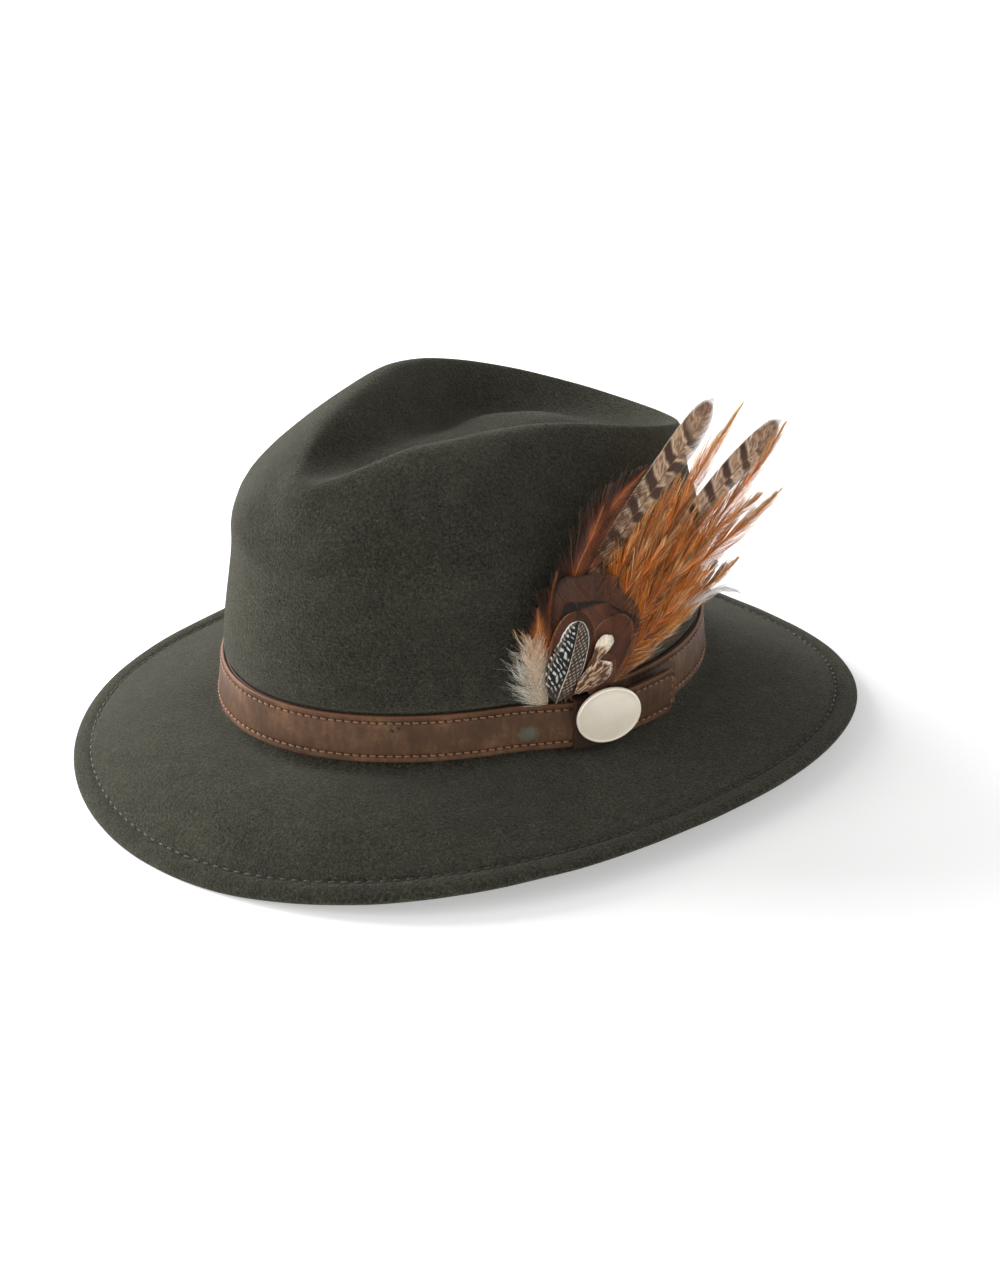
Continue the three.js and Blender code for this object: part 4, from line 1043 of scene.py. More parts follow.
def vane(shaft, left, right, d0, n, tint, seed, lead=0.12, nseg=6, width=1.12, thick=0.07, camber=0.5, arch=0.0, f0=0.02,
         pull=0.0, clump=9, wisp=0.0, ragged=0.02, curve=0.16, blunt=0.35, shaft_r=0.35, shaft_tint=(0.3, 0.2, 0.1), lift=0.0,
         shaft_to=0.97, vary=0.06, stray=0.0):
    """One feather in the fan's plane from its shaft and its two outlines, root to tip: a shaft and
    n barbs a side, every barb a thin closed prism. Gives points, faces and colours."""
    rng = np.random.default_rng(seed)
    S, length = spline(shaft, 500)
    f_ = np.linspace(0, 1, 500)
    tan = np.gradient(S, axis=0); tan /= np.linalg.norm(tan, axis=1)[:, None]
    Vs, Fs, Cs, base = [], [], [], 0
    q = np.linspace(0, 1, nseg + 1)

    def depth(f, qq):
        return d0 + arch * 4 * f * (1 - f) + lift * f * f + camber * (1 - qq ** 2)

    for side, outline in ((1, left), (-1, right)):
        E, _ = spline(outline, 500)
        f = f0 + (1 - f0) * (np.arange(n + 1) + 0.5) / n
        f = np.minimum(f, 1.0)
        e = min(6.0, 0.8 / max(lead, 1e-3))
        v = np.minimum(f + lead * (1 - f ** e), 1.0)
        Sx, Sy = np.interp(f, f_, S[:, 0]), np.interp(f, f_, S[:, 1])
        tx, ty = np.interp(f, f_, tan[:, 0]), np.interp(f, f_, tan[:, 1])
        Ex, Ey = np.interp(v, f_, E[:, 0]), np.interp(v, f_, E[:, 1])
        dist = np.hypot(Ex - Sx, Ey - Sy)
        nx, ny = -ty * side, tx * side
        cx = (Sx + Ex) / 2 + curve * dist * (nx - tx)
        cy = (Sy + Ey) / 2 + curve * dist * (ny - ty)
        b0, b1, b2 = (1 - q) ** 2, 2 * q * (1 - q), q ** 2
        X = Sx[:, None] * b0 + cx[:, None] * b1 + Ex[:, None] * b2
        Y = Sy[:, None] * b0 + cy[:, None] * b1 + Ey[:, None] * b2
        # room up to the next barb
        gx, gy = np.gradient(X, axis=1), np.gradient(Y, axis=1)
        gl = np.hypot(gx, gy) + 1e-9
        gx, gy = gx / gl, gy / gl
        room = np.abs(gx[:-1] * np.diff(Y, axis=0) - gy[:-1] * np.diff(X, axis=0))
        X, Y, gx, gy = X[:-1], Y[:-1], gx[:-1], gy[:-1]
        Sx, Sy, tx, ty, f = Sx[:-1], Sy[:-1], tx[:-1], ty[:-1], f[:-1]
        wid = np.clip(room, 0.16, 1.4) * width * (1 - blunt * q[None] ** 5)
        wid = np.minimum(wid, 1.3)
        # barbs cling together in small groups and part between them
        g = np.cumsum(rng.uniform(0, 1, n) < 1.0 / clump)
        if pull:
            cnt = np.maximum(np.bincount(g), 1)[:, None]
            Gx = np.stack([np.bincount(g, X[:, j]) for j in range(nseg + 1)], 1) / cnt
            Gy = np.stack([np.bincount(g, Y[:, j]) for j in range(nseg + 1)], 1) / cnt
            k = pull * q[None] ** 2
            X, Y = X + k * (Gx[g] - X), Y + k * (Gy[g] - Y)
            wid = wid * (1 - 0.55 * pull * q[None] ** 2)
        # uneven lengths, and a wander that grows outwards
        ln = 1 + rng.normal(0, ragged, n) + rng.normal(0, ragged * 1.5, g.max() + 1)[g]
        if stray:
            far = rng.uniform(0, 1, n) < stray
            ln = ln + far * rng.uniform(0.05, 0.35, n)
        ln = ln[:, None]
        X = Sx[:, None] + (X - Sx[:, None]) * ln
        Y = Sy[:, None] + (Y - Sy[:, None]) * ln
        if wisp:
            a = (rng.normal(0, 1, (n, 1)) * 0.6 + rng.normal(0, 1, g.max() + 1)[g][:, None] * 0.6) * wisp
            r = dist[:-1][:, None]
            X = X + a * r * q[None] ** 2 * -gy * 0.22
            Y = Y + a * r * q[None] ** 2 * gx * 0.22
        dx, dy = np.gradient(X, axis=1), np.gradient(Y, axis=1)
        nn = np.hypot(dx, dy) + 1e-9
        wx, wy = -dy / nn, dx / nn
        along = f[:, None] * length + (X - Sx[:, None]) * tx[:, None] + (Y - Sy[:, None]) * ty[:, None]
        across = np.abs((X - Sx[:, None]) * -ty[:, None] + (Y - Sy[:, None]) * tx[:, None])
        F_ = along / length
        D = depth(np.clip(F_, 0, 1.02), q[None] * np.ones((n, 1)))
        D = D + rng.normal(0, 1, (n, 1)) * (0.03 + 0.30 * wisp * q[None]) + 0.5 * wisp * rng.normal(0, 1, g.max() + 1)[g][:, None] * q[None] ** 2
        tl = 0.05 * side
        A = fan(X - wx * wid / 2, Y - wy * wid / 2, D + tl)
        B = fan(X + wx * wid / 2, Y + wy * wid / 2, D - tl)
        C3 = fan(X, Y, D + thick)
        P = np.stack([A, B, C3], 2)
        col = tint(F_, q[None] * np.ones((n, 1)), side, across, along, rng)
        col = col * np.clip(1 + rng.normal(0, vary, (n, 1)) + rng.normal(0, vary * 1.5, g.max() + 1)[g][:, None], 0.25, 2)[..., None]
        col = np.repeat(np.clip(col, 0.002, 1)[:, :, None, :], 3, 2)
        s = (nseg + 1) * 3
        quads = np.array([[i * 3 + j, i * 3 + (j + 1) % 3, (i + 1) * 3 + (j + 1) % 3, (i + 1) * 3 + j] for i in range(nseg) for j in range(3)])
        caps = np.array([[2, 1, 0], [nseg * 3, nseg * 3 + 1, nseg * 3 + 2]])
        off = (base + np.arange(n) * s)[:, None, None]
        Vs.append(P.reshape(-1, 3)); Cs.append(col.reshape(-1, 3))
        Fs += [(quads[None] + off).reshape(-1, 4), (caps[None] + off).reshape(-1, 3)]
        base += n * s
    m, sd = 40, 6
    f = np.linspace(0, shaft_to, m)
    x, y = np.interp(f, f_, S[:, 0]), np.interp(f, f_, S[:, 1])
    tx, ty = np.interp(f, f_, tan[:, 0]), np.interp(f, f_, tan[:, 1])
    r = shaft_r * (1 - 0.84 * f)
    aa = np.arange(sd) * TAU / sd
    lat, up = r[:, None] * np.cos(aa), r[:, None] * np.sin(aa) * 0.8
    P = fan(x[:, None] - ty[:, None] * lat, y[:, None] + tx[:, None] * lat, (depth(f, 0 * f) + thick)[:, None] + up)
    Vs.append(P.reshape(-1, 3))
    # shaft darkened toward the root: painted shade where the roots bunch at the mount
    Cs.append(np.repeat(np.array(shaft_tint, float)[None] * (0.25 + 0.75 * smooth((f - 0.03) / 0.15))[:, None], sd, 0))
    Fs += [grid_faces(m, sd, True, False, base=base), np.arange(sd)[None, ::-1] + base, (np.arange(sd) + (m - 1) * sd)[None] + base]
    return np.vstack(Vs), Fs, np.vstack(Cs)


def feather(name, nodes, mat, slot, *parts):
    V, F, C, base = [], [], [], 0
    for v, f, c in parts:
        V.append(v); C.append(c); F += [a + base for a in f]
        base += len(v)
    return new_mesh(name, place(np.vstack(V)), F, fgroup, mat, nodes, color=np.vstack(C), shade=False)


def lay(n):
    return 0.9 + n * 0.62 + 0.15


G_DEEP, G_MID, G_WARM, G_LITE, G_PALE = srgb(66, 30, 10), srgb(152, 74, 20), srgb(196, 108, 32), srgb(228, 160, 78), srgb(246, 222, 170)


def tint_ginger(seed, pale=0.5, deep=0.5, tip=0.62):
    def f_(f, q, side, across, along, rng):
        n = f.shape[0]
        s = rng.normal(0, 0.45, (n, 1)) * np.ones_like(q)
        body = noise2(along / 9.0, across / 3.0 + side * 5, seed)
        c = mixf(G_DEEP, G_MID, 0.62 - 0.45 * deep + 0.5 * s + 0.35 * body + 0.5 * f)
        c = mixf(c, G_WARM, np.clip(0.05 + 0.6 * f + 0.4 * s + 0.20 * q, 0, 1))
        c = mixf(c, G_LITE, np.clip((q - 0.55) / 0.45, 0, 1) * np.clip(0.10 + 0.6 * s + 0.3 * f, 0, 1))
        c = mixf(c, G_PALE, pale * np.clip((f - tip) / (1 - tip), 0, 1) * np.clip(0.20 + q, 0, 1) * 0.7 + pale * 0.25 * np.clip((q - 0.75) / 0.25, 0, 1) * np.clip(0.4 + s, 0, 1))
        hi = (rng.uniform(0, 1, (n, 1)) < 0.09)
        return mixf(c, G_PALE, hi * rng.uniform(0.3, 0.8, (n, 1)) * np.clip(0.4 + q, 0, 1))
    return f_


D_BLK, D_BRN, D_RED, D_GIN = srgb(34, 22, 15), srgb(62, 37, 24), srgb(98, 50, 26), srgb(158, 86, 40)


def tint_dark(seed, core=0.7):
    def f_(f, q, side, across, along, rng):
        n = f.shape[0]
        s = rng.normal(0, 0.3, (n, 1)) * np.ones_like(q)
        c = mixf(D_RED, D_GIN, core * np.clip(1 - q * 2.6 + 0.3 * s, 0, 1))
        c = mixf(c, D_BRN, np.clip((q - 0.18) * 2.2 + 0.3 * s, 0, 1))
        c = mixf(c, D_BLK, np.clip((q - 0.60) * 1.6 + 0.2 * s, 0, 1) * 0.7)
        return mixf(c, D_RED, (rng.uniform(0, 1, (n, 1)) < 0.15) * 0.6 * np.ones_like(q))
    return f_


P_BUFF, P_PALE, P_BAR, P_MOT = srgb(166, 130, 100), srgb(214, 192, 164), srgb(72, 48, 36), srgb(104, 74, 56)


def tint_pheasant(seed, length, period=12.0, phase=0.0, wide=8.0):
    def f_(f, q, side, across, along, rng):
        a0 = along + phase + 0.9 * noise2(along / 5.0, across / 3.5 + side * 9, seed)
        a0 = a0 - 0.30 * across if side > 0 else a0 + period * 0.10 - 0.22 * across
        p = (a0 / period) % 1.0
        jag = 0.035 * noise2(along / 1.4, across / 1.2 + side * 5, seed + 1)
        bar = smooth((0.20 + jag - np.abs(p - 0.5)) / 0.045)
        line = smooth((0.040 - np.abs(np.abs(p - 0.5) - 0.27 - jag)) / 0.025)    # thin pale line beside each bar
        mot = noise2(along / 1.3, across / 1.0 + side * 7, seed + 2)
        mot2 = noise2(along / 0.7 + 3, across / 0.7 + side * 3, seed + 3)
        end = smooth((along - (length - 21)) / 7)                               # finely mottled before the tip
        c = mixf(P_BUFF, P_PALE, 0.20 + 0.4 * mot2)
        c = mixf(c, P_MOT, smooth((mot - 0.02) / 0.3) * 0.75)
        c = mixf(c, P_PALE, line * 0.75 * (1 - end))
        c = mixf(c, P_BAR, bar * (1 - 0.88 * end))
        c = mixf(c, P_MOT, end * smooth((mot2 + 0.05) / 0.4) * 0.55)
        c = mixf(c, P_PALE, smooth((q - 0.90) / 0.08) * 0.7)
        return mixf(c, srgb(246, 242, 236), smooth((f - 0.968) / 0.018) + smooth((q - 0.86) / 0.08) * smooth((f - 0.88) / 0.06) * 0.95)
    return f_


PH = [(-7.1, 1.5), (-4.5, 20.0), (1.0, 38.0), (9.8, 54.6), (19.7, 66.2), (30.0, 75.2), (38.0, 82.2), (46.0, 88.8), (54.0, 95.2), (60.0, 100.4), (65.2, 105.6)]
PS = [(0.0, 2.0), (9.5, 19.0), (27.6, 36.0), (40.0, 46.0), (48.8, 53.8), (58.8, 62.4), (68.6, 68.4), (79.0, 73.4), (89.5, 77.6), (98.5, 81.0), (106.8, 85.0)]
for nm, cad, ctrl, wl, wr, ly, seed, per, ph in (("pheasant_tall", "feather_pheasant_long", PH, 8.0, 7.6, 1, 1001, 12.2, 3.0),
                                               ("pheasant_back", "feather_pheasant_short", PS, 7.4, 6.4, 2, 1003, 10.8, 1.0)):
    L_, R_s = sides_of(ctrl, wl, wr, BLUNT)
    length = float(spline(ctrl, 10)[1])
    feather(nm, [cad], MAT["barred"], "feather_barred",
            vane(ctrl, L_, R_s, lay(ly), 290, tint_pheasant(seed, length, per, ph), seed, lead=0.07, nseg=9, width=1.2, thick=0.06, camber=0.9, f0=0.25,
                 pull=0.05, clump=18, ragged=0.006, curve=0.10, shaft_r=0.55, shaft_tint=srgb(120, 84, 56), vary=0.05, arch=0.6))

HACKLES = [
    ("hackle_high", ["feather_hackle_high"], [(-1.0, 2.0), (12, 24), (27.0, 44.0), (41, 61.0), (54.0, 75.5), (66, 87.0), (81.6, 99.8)], 3, 10.5, 8.0, 2101, 0.45, 0.9),
    ("hackle_far", ["feather_hackle_far"], [(3.0, 2.0), (18, 19), (35, 33.5), (56, 48.0), (75, 60.5), (93, 71.5), (109.6, 84.4)], 4, 9.5, 11.0, 2102, 0.40, 0.65),
    ("hackle_mid", ["feather_hackle_mid"], [(4.5, 2.0), (13, 14), (26, 25.5), (42, 38.0), (58, 47.5), (75, 54.0), (94.3, 58.6)], 5, 10.0, 8.0, 2103, 0.45, 0.8),
    ("hackle_wide", ["feather_hackle_wide"], [(5.5, 2.5), (15, 13), (29, 24.5), (46, 35.5), (64, 43.5), (84, 49.5), (106.6, 57.2)], 6, 9.0, 8.5, 2104, 0.35, 0.9),
    ("hackle_low", ["feather_hackle_low"], [(6.5, 3.0), (16, 10.5), (30, 18.5), (45, 25.0), (57, 29.0), (68, 32.2), (78.8, 36.4)], 7, 10.0, 7.0, 2105, 0.5, 0.8),
]
for nm, cad, ctrl, ly, wl, wr, sd, deep, pale in HACKLES:
    L_, R_s = sides_of(ctrl, wl, wr, SLIM)
    feather(nm, cad, MAT["ginger"], "feather_ginger",
            vane(ctrl, L_, R_s, lay(ly), 270, tint_ginger(sd % 97, pale, deep), sd, lead=0.17, nseg=7, width=1.12, thick=0.08, camber=0.6, pull=0.50, clump=8,
                 wisp=0.45, ragged=0.09, curve=0.05, blunt=0.75, shaft_r=0.34, shaft_tint=srgb(196, 124, 62), vary=0.16, stray=0.05))
FILL = [   # shorter hackles that fill the bunch
    ([(-3, 4), (6, 22), (15, 38), (26, 52), (41, 68)], 3.6, 9, 8, 2201, 0.45, 0.5),
    ([(0, 4), (12, 22), (24, 37), (38, 50), (56, 66)], 4.6, 9, 9, 2202, 0.6, 0.4),
    ([(-6, 8), (0, 24), (8, 40), (18, 55), (33, 72)], 2.7, 9, 9, 2210, 0.7, 0.4),
    ([(-4, 10), (2, 26), (9, 40), (16, 52), (26, 66)], 5.2, 9, 9, 2211, 0.75, 0.3),
    ([(-2, 10), (6, 28), (15, 44), (28, 60), (46, 80)], 3.2, 8, 9, 2212, 0.55, 0.5),
    ([(2, 6), (10, 24), (18, 38), (30, 50), (44, 60)], 7.6, 8, 9, 2203, 0.35, 0.6),
    ([(4, 5), (16, 19), (30, 32), (44, 41), (62, 50)], 7.2, 9, 9, 2204, 0.7, 0.4),
    ([(4, 8), (18, 26), (34, 41), (52, 54), (72, 66)], 5.4, 9, 9, 2213, 0.5, 0.5),
    ([(6, 4), (17, 13), (32, 24), (46, 31), (66, 39)], 8.0, 9, 8, 2205, 0.4, 0.6),
    ([(6, 4), (17, 11), (30, 18), (42, 22), (55, 25)], 8.6, 8, 6, 2206, 0.3, 0.7),
    ([(1, 8), (8, 24), (13, 36), (19, 48), (28, 60)], 9.0, 8, 9, 2207, 0.65, 0.4),
    ([(6, 8), (15, 20), (24, 29), (35, 38), (50, 46)], 9.4, 8, 8, 2208, 0.6, 0.5),
    ([(8, 6), (18, 15), (28, 21), (38, 27), (50, 33)], 9.7, 7, 7, 2209, 0.35, 0.7),
]
parts = []
for ctrl, ly, wl, wr, sd, deep, pale in FILL:
    L_, R_s = sides_of(ctrl, wl, wr, SLIM)
    parts.append(vane(ctrl, L_, R_s, lay(ly), 150, tint_ginger(sd % 97, pale, deep, 0.7), sd, lead=0.2, nseg=6, width=1.15, thick=0.08, camber=0.6, pull=0.5, clump=7,
                      wisp=0.6, ragged=0.12, curve=0.05, blunt=0.75, shaft_r=0.26, shaft_tint=srgb(188, 112, 52), vary=0.18, stray=0.06))
feather("hackle_short_bunch", [], MAT["ginger"], "feather_ginger", *parts)

grey = [(7.0, 3.0), (20, 10.0), (36, 17.0), (50, 23.5), (60, 27.0), (70, 25.8), (79.8, 21.0)]
L_, R_s = sides_of(grey, 4.2, 2.6, SLIM)
feather("hackle_pale", ["feather_hackle_grey"], MAT["greyf"], "feather_grey",
        vane(grey, L_, R_s, lay(8), 110, lambda f, q, side, across, along, rng: mixf(srgb(196, 160, 122), srgb(214, 213, 212), np.clip((f - 0.5) * 3, 0, 1)),
             2301, lead=0.16, nseg=5, width=0.9, pull=0.4, wisp=0.3, ragged=0.08, blunt=0.7, shaft_r=0.22, shaft_tint=srgb(218, 212, 204)))


def tint_edge(f, q, side, across, along, rng):
    n = f.shape[0]
    s = rng.normal(0, 0.3, (n, 1)) * np.ones_like(q)
    c = mixf(G_MID, G_LITE, np.clip(0.30 + 0.5 * s + 0.3 * q, 0, 1))
    c = mixf(c, srgb(228, 214, 198), np.clip((q - 0.5) * 2.0 + 0.4 * s, 0, 1) * (0.9 if side < 0 else 0.25))
    c = mixf(c, srgb(90, 58, 40), smooth((noise2(along / 3.6, across / 2.2, 31) - 0.25) / 0.2) * 0.75 * smooth((0.7 - f) / 0.2))
    return mixf(c, srgb(234, 226, 216), np.clip((f - 0.86) / 0.1, 0, 1))


edge_c = [(7.5, 3.5), (15.0, 9.0), (24.0, 13.8), (33, 17.2), (43, 20.4), (55.6, 24.6)]
L_, R_s = sides_of(edge_c, 6.5, 4.6, SLIM)
feather("hackle_border", ["feather_hackle_edge"], MAT["ginger"], "feather_ginger",
        vane(edge_c, L_, R_s, lay(9), 150, tint_edge, 2302, lead=0.16, nseg=6, width=1.0, pull=0.5, clump=6, wisp=0.5, ragged=0.1, blunt=0.8, shaft_r=0.3,
             shaft_tint=srgb(200, 146, 92), vary=0.08))

dh = [(-11, 2), (-10, 25), (-6, 48), (0.5, 67), (10, 79), (26.2, 89.4)]
feather("dark_tall", ["feather_dark_high"], MAT["darkf"], "feather_dark",
        vane(dh, [(-14, 6), (-17.5, 34), (-15.5, 57), (-9.5, 70), (-2.5, 80.5), (5, 85.5), (14, 88), (26.2, 89.4)],
             [(-6, 5), (-1, 28), (5, 46), (12, 61), (19, 73), (25, 82), (26.2, 89.4)], lay(10), 230, tint_dark(11, 0.85), 3101, lead=0.13, nseg=7, width=1.0,
             thick=0.08, camber=0.5, pull=0.5, clump=7, wisp=0.35, ragged=0.06, curve=0.05, blunt=0.7, shaft_r=0.35, shaft_tint=srgb(168, 98, 50), vary=0.12, stray=0.05))
dm = [(-14, 2), (-15.5, 22), (-13.5, 42), (-8.5, 57), (-2, 68), (4, 80.5)]
feather("dark_second", ["feather_dark_mid"], MAT["darkf"], "feather_dark",
        vane(dm, [(-18, 8), (-22.5, 28), (-21.5, 46), (-15.5, 61), (-8.8, 72), (-2, 80), (4, 80.5)], [(-10, 6), (-9, 26), (-5.5, 42), (0, 56), (6, 68), (8, 76), (4, 80.5)],
             lay(11), 200, tint_dark(12, 1.0), 3102, lead=0.13, nseg=7, width=1.0, thick=0.08, camber=0.5, pull=0.55, clump=7, wisp=0.4, ragged=0.07,
             curve=0.05, blunt=0.7, shaft_r=0.35, shaft_tint=srgb(190, 116, 62), vary=0.12, stray=0.05))
dl = [(-16, 2.5), (-20, 16), (-22, 32), (-21.5, 44), (-18.5, 57)]
feather("dark_outer", ["feather_dark_low"], MAT["darkf"], "feather_dark",
        vane(dl, [(-20, 6), (-26, 20), (-29.0, 34), (-27, 46), (-21.5, 54), (-18.5, 57)], [(-12, 8), (-13, 24), (-13, 38), (-13.5, 50), (-16, 58), (-18.5, 57)],
             lay(12), 170, tint_dark(13, 0.6), 3103, lead=0.15, nseg=7, width=1.0, thick=0.08, camber=0.5, pull=0.65, clump=6, wisp=0.5, ragged=0.10,
             curve=0.04, blunt=0.8, shaft_r=0.3, shaft_tint=srgb(132, 76, 44), vary=0.12, stray=0.08))


def tint_ginger_left(f, q, side, across, along, rng):
    n = f.shape[0]
    s = rng.normal(0, 0.3, (n, 1)) * np.ones_like(q)
    c = mixf(srgb(214, 180, 146), srgb(196, 116, 56), np.clip((f - 0.20) * 2.6 + 0.3 * s, 0, 1))
    return mixf(c, srgb(46, 28, 18), np.clip((f + 0.42 * q - 0.82) * 3.4 + 0.3 * s, 0, 1))


gl = [(-20, 5), (-24, 16), (-26, 27), (-27, 36), (-27.5, 44)]
feather("ginger_tuft", ["feather_ginger_left"], MAT["ginger"], "feather_ginger",
        vane(gl, [(-24, 9), (-30.5, 20), (-33.5, 31), (-32.5, 39), (-29.5, 46.5)], [(-18, 9), (-19, 22), (-20.5, 34), (-22.5, 42), (-25.5, 48)],
             lay(13), 150, tint_ginger_left, 3201, lead=0.16, nseg=6, width=0.95, pull=0.6, clump=6, wisp=0.6, ragged=0.12, curve=0.04, blunt=0.85, shaft_r=0.25,
             shaft_tint=srgb(196, 142, 92), vary=0.1, stray=0.08))


def tint_fluff(f, q, side, across, along, rng):
    n = f.shape[0]
    s = rng.normal(0, 0.25, (n, 1)) * np.ones_like(q)
    c = mixf(srgb(220, 200, 172), srgb(236, 228, 212), np.clip(q + 0.3 * s, 0, 1))
    if side > 0:
        c = mixf(c, srgb(222, 222, 210), np.clip((q - 0.30) * 1.8, 0, 1))
    return mixf(c, srgb(208, 150, 98), np.clip((f - 0.80) * 2.4 + 0.2 * s, 0, 1))


fl = [(-23.5, 5), (-27, 10), (-29, 16.5), (-29.8, 24), (-30.5, 32)]
fl_l = [(-28.5, 7.0), (-34, 9.2), (-37.4, 13), (-38.3, 19), (-38.2, 26), (-35.5, 31.5), (-32, 35.5)]
fl_r = [(-22.5, 6), (-23.3, 13), (-23.6, 21), (-24.8, 28), (-27.5, 35)]
feather("fluff_tuft", ["feather_fluff"], MAT["cream"], "feather_cream",
        vane(fl, fl_l, fl_r, lay(14) - 0.3, 190, tint_fluff, 3301, lead=0.10, nseg=8, width=0.62, pull=0.35, clump=6, wisp=1.0, ragged=0.14, curve=0.10, blunt=0.9,
             shaft_r=0.22, shaft_tint=srgb(206, 176, 146), vary=0.07, camber=0.9, stray=0.15, f0=0.0),
        vane([(-24, 4.5), (-28, 8), (-31, 13), (-32.5, 20), (-33, 27)], [(-29, 6.0), (-34, 7.5), (-37, 11), (-38, 17), (-37, 24), (-34, 30)],
             [(-23, 6), (-25, 12), (-27, 19), (-29, 27), (-31, 31)], lay(14) + 0.6, 130, tint_fluff, 3302, lead=0.10, nseg=8, width=0.55, pull=0.4, clump=5, wisp=1.2,
             ragged=0.18, curve=0.10, blunt=0.9, shaft_r=0.18, shaft_tint=srgb(210, 184, 156), vary=0.07, camber=0.8, stray=0.2, f0=0.0))

B_BASE, B_RED, B_EDGE, B_GREY, B_RIM = srgb(68, 43, 28), srgb(104, 48, 22), srgb(19, 19, 15), srgb(88, 63, 46), srgb(156, 104, 64)


def tint_bronze(seed, edge=0.86, rim=0.0, red=0.4, greyv=0.4, dark=0.9, rim_at=0.86):
    """Bronze brown with a dark crescent or a paler rim along the outline."""
    def f_(f, q, side, across, along, rng):
        s = noise2(along / 5.0, across / 2.5 + side * 4, seed)
        c = mixf(B_BASE, B_RED, red * (0.5 + 0.6 * s))
        c = mixf(c, B_GREY, greyv * np.clip(0.3 + noise2(along / 7, across / 3 + side * 2, seed + 1), 0, 1))
        if edge:
            c = mixf(c, B_EDGE, smooth((q - edge) / 0.06) * dark * smooth((f - 0.45) / 0.2))
        if rim:
            c = mixf(c, B_RIM, smooth((q - rim_at) / 0.06) * rim)
        return c
    return f_


BODY = dict(nseg=9, width=1.15, wisp=0.04, pull=0.08, clump=20, ragged=0.006, thick=0.05, blunt=0.2, curve=0.12, vary=0.04, shaft_r=0.2)
feather("bronze_upper", ["feather_body_upper"], MAT["darkf"], "feather_dark",
        vane([(-4, 3.5), (-4, 18), (-3.5, 34), (-3, 53)], [(-12, 8), (-19, 22), (-21.5, 36), (-21, 48), (-17.5, 54.5), (-10.5, 54), (-3, 53)],
             [(5, 8), (15, 18), (20, 29), (17.5, 36.5), (11.5, 42), (8.3, 49.5), (2.5, 52.5), (-3, 53)], lay(15), 190,
             tint_bronze(201, 0.88, 0, 0.30, 0.35, 1.0), 4101, lead=0.10, camber=0.35, shaft_tint=srgb(66, 44, 32), **BODY))
feather("bronze_right", ["feather_body_right"], MAT["darkf"], "feather_dark",
        vane([(-1, 3.5), (0, 14), (1.5, 27), (3, 40.2)], [(-8, 8), (-16, 20), (-18.5, 33), (-16.3, 43.2), (-9.5, 43), (-3, 42), (3, 40.2)],
             [(6, 5), (14, 13), (19.5, 22), (19.8, 28.6), (14, 32.6), (8.6, 36.4), (3, 40.2)], lay(16), 170,
             tint_bronze(203, 0.83, 0, 0.7, 0.5, 1.0), 4102, lead=0.10, camber=0.35, shaft_tint=srgb(66, 44, 32), **BODY),
        vane([(-2, 5), (2.5, 14), (5, 23), (6, 34.6)], [(-5, 9), (-5.5, 20), (-3.5, 29.5), (0.5, 33.2), (6, 34.6)],
             [(3, 5), (11, 13), (15.5, 22), (15.0, 29.5), (11.5, 33.4), (6, 34.6)], lay(16.8), 100,
             tint_bronze(207, 0, 0.65, 0.95, 0.3, 0, 0.92), 4104, lead=0.10, camber=0.35, shaft_tint=srgb(66, 44, 32), **BODY))
feather("bronze_left", ["feather_body_left"], MAT["darkf"], "feather_dark",
        vane([(-16, 4), (-14.5, 16), (-12.5, 28), (-11.8, 40.3)], [(-21, 8), (-23.5, 20), (-22.5, 31), (-19.3, 37), (-16, 39.6), (-11.8, 40.3)],
             [(-10, 6), (-4.5, 16), (-2.4, 25), (-2.8, 31.5), (-5.2, 36.5), (-8.5, 39.4), (-11.8, 40.3)], lay(17), 150,
             tint_bronze(205, 0, 0.75, 0.55, 0.15, 0, 0.92), 4103, lead=0.10, camber=0.4, shaft_tint=srgb(66, 44, 32), **BODY),
        vane([(-6, 4.5), (-1.5, 10), (1.5, 14), (4.8, 19)], [(-9, 7), (-8, 15), (-4.7, 20.0), (-0.5, 20.9), (4.8, 19)],
             [(-2, 4.5), (3, 7.8), (6, 11.5), (6.4, 15.6), (4.8, 19)], lay(18.8), 80,
             tint_bronze(209, 0, 0.85, 0.6, 0.15, 0, 0.90), 4105, lead=0.10, camber=0.3, shaft_tint=srgb(80, 54, 38), **BODY))

GN_BLK, GN_WHT, GN_BRN = srgb(24, 20, 17), srgb(228, 232, 228), srgb(80, 56, 42)


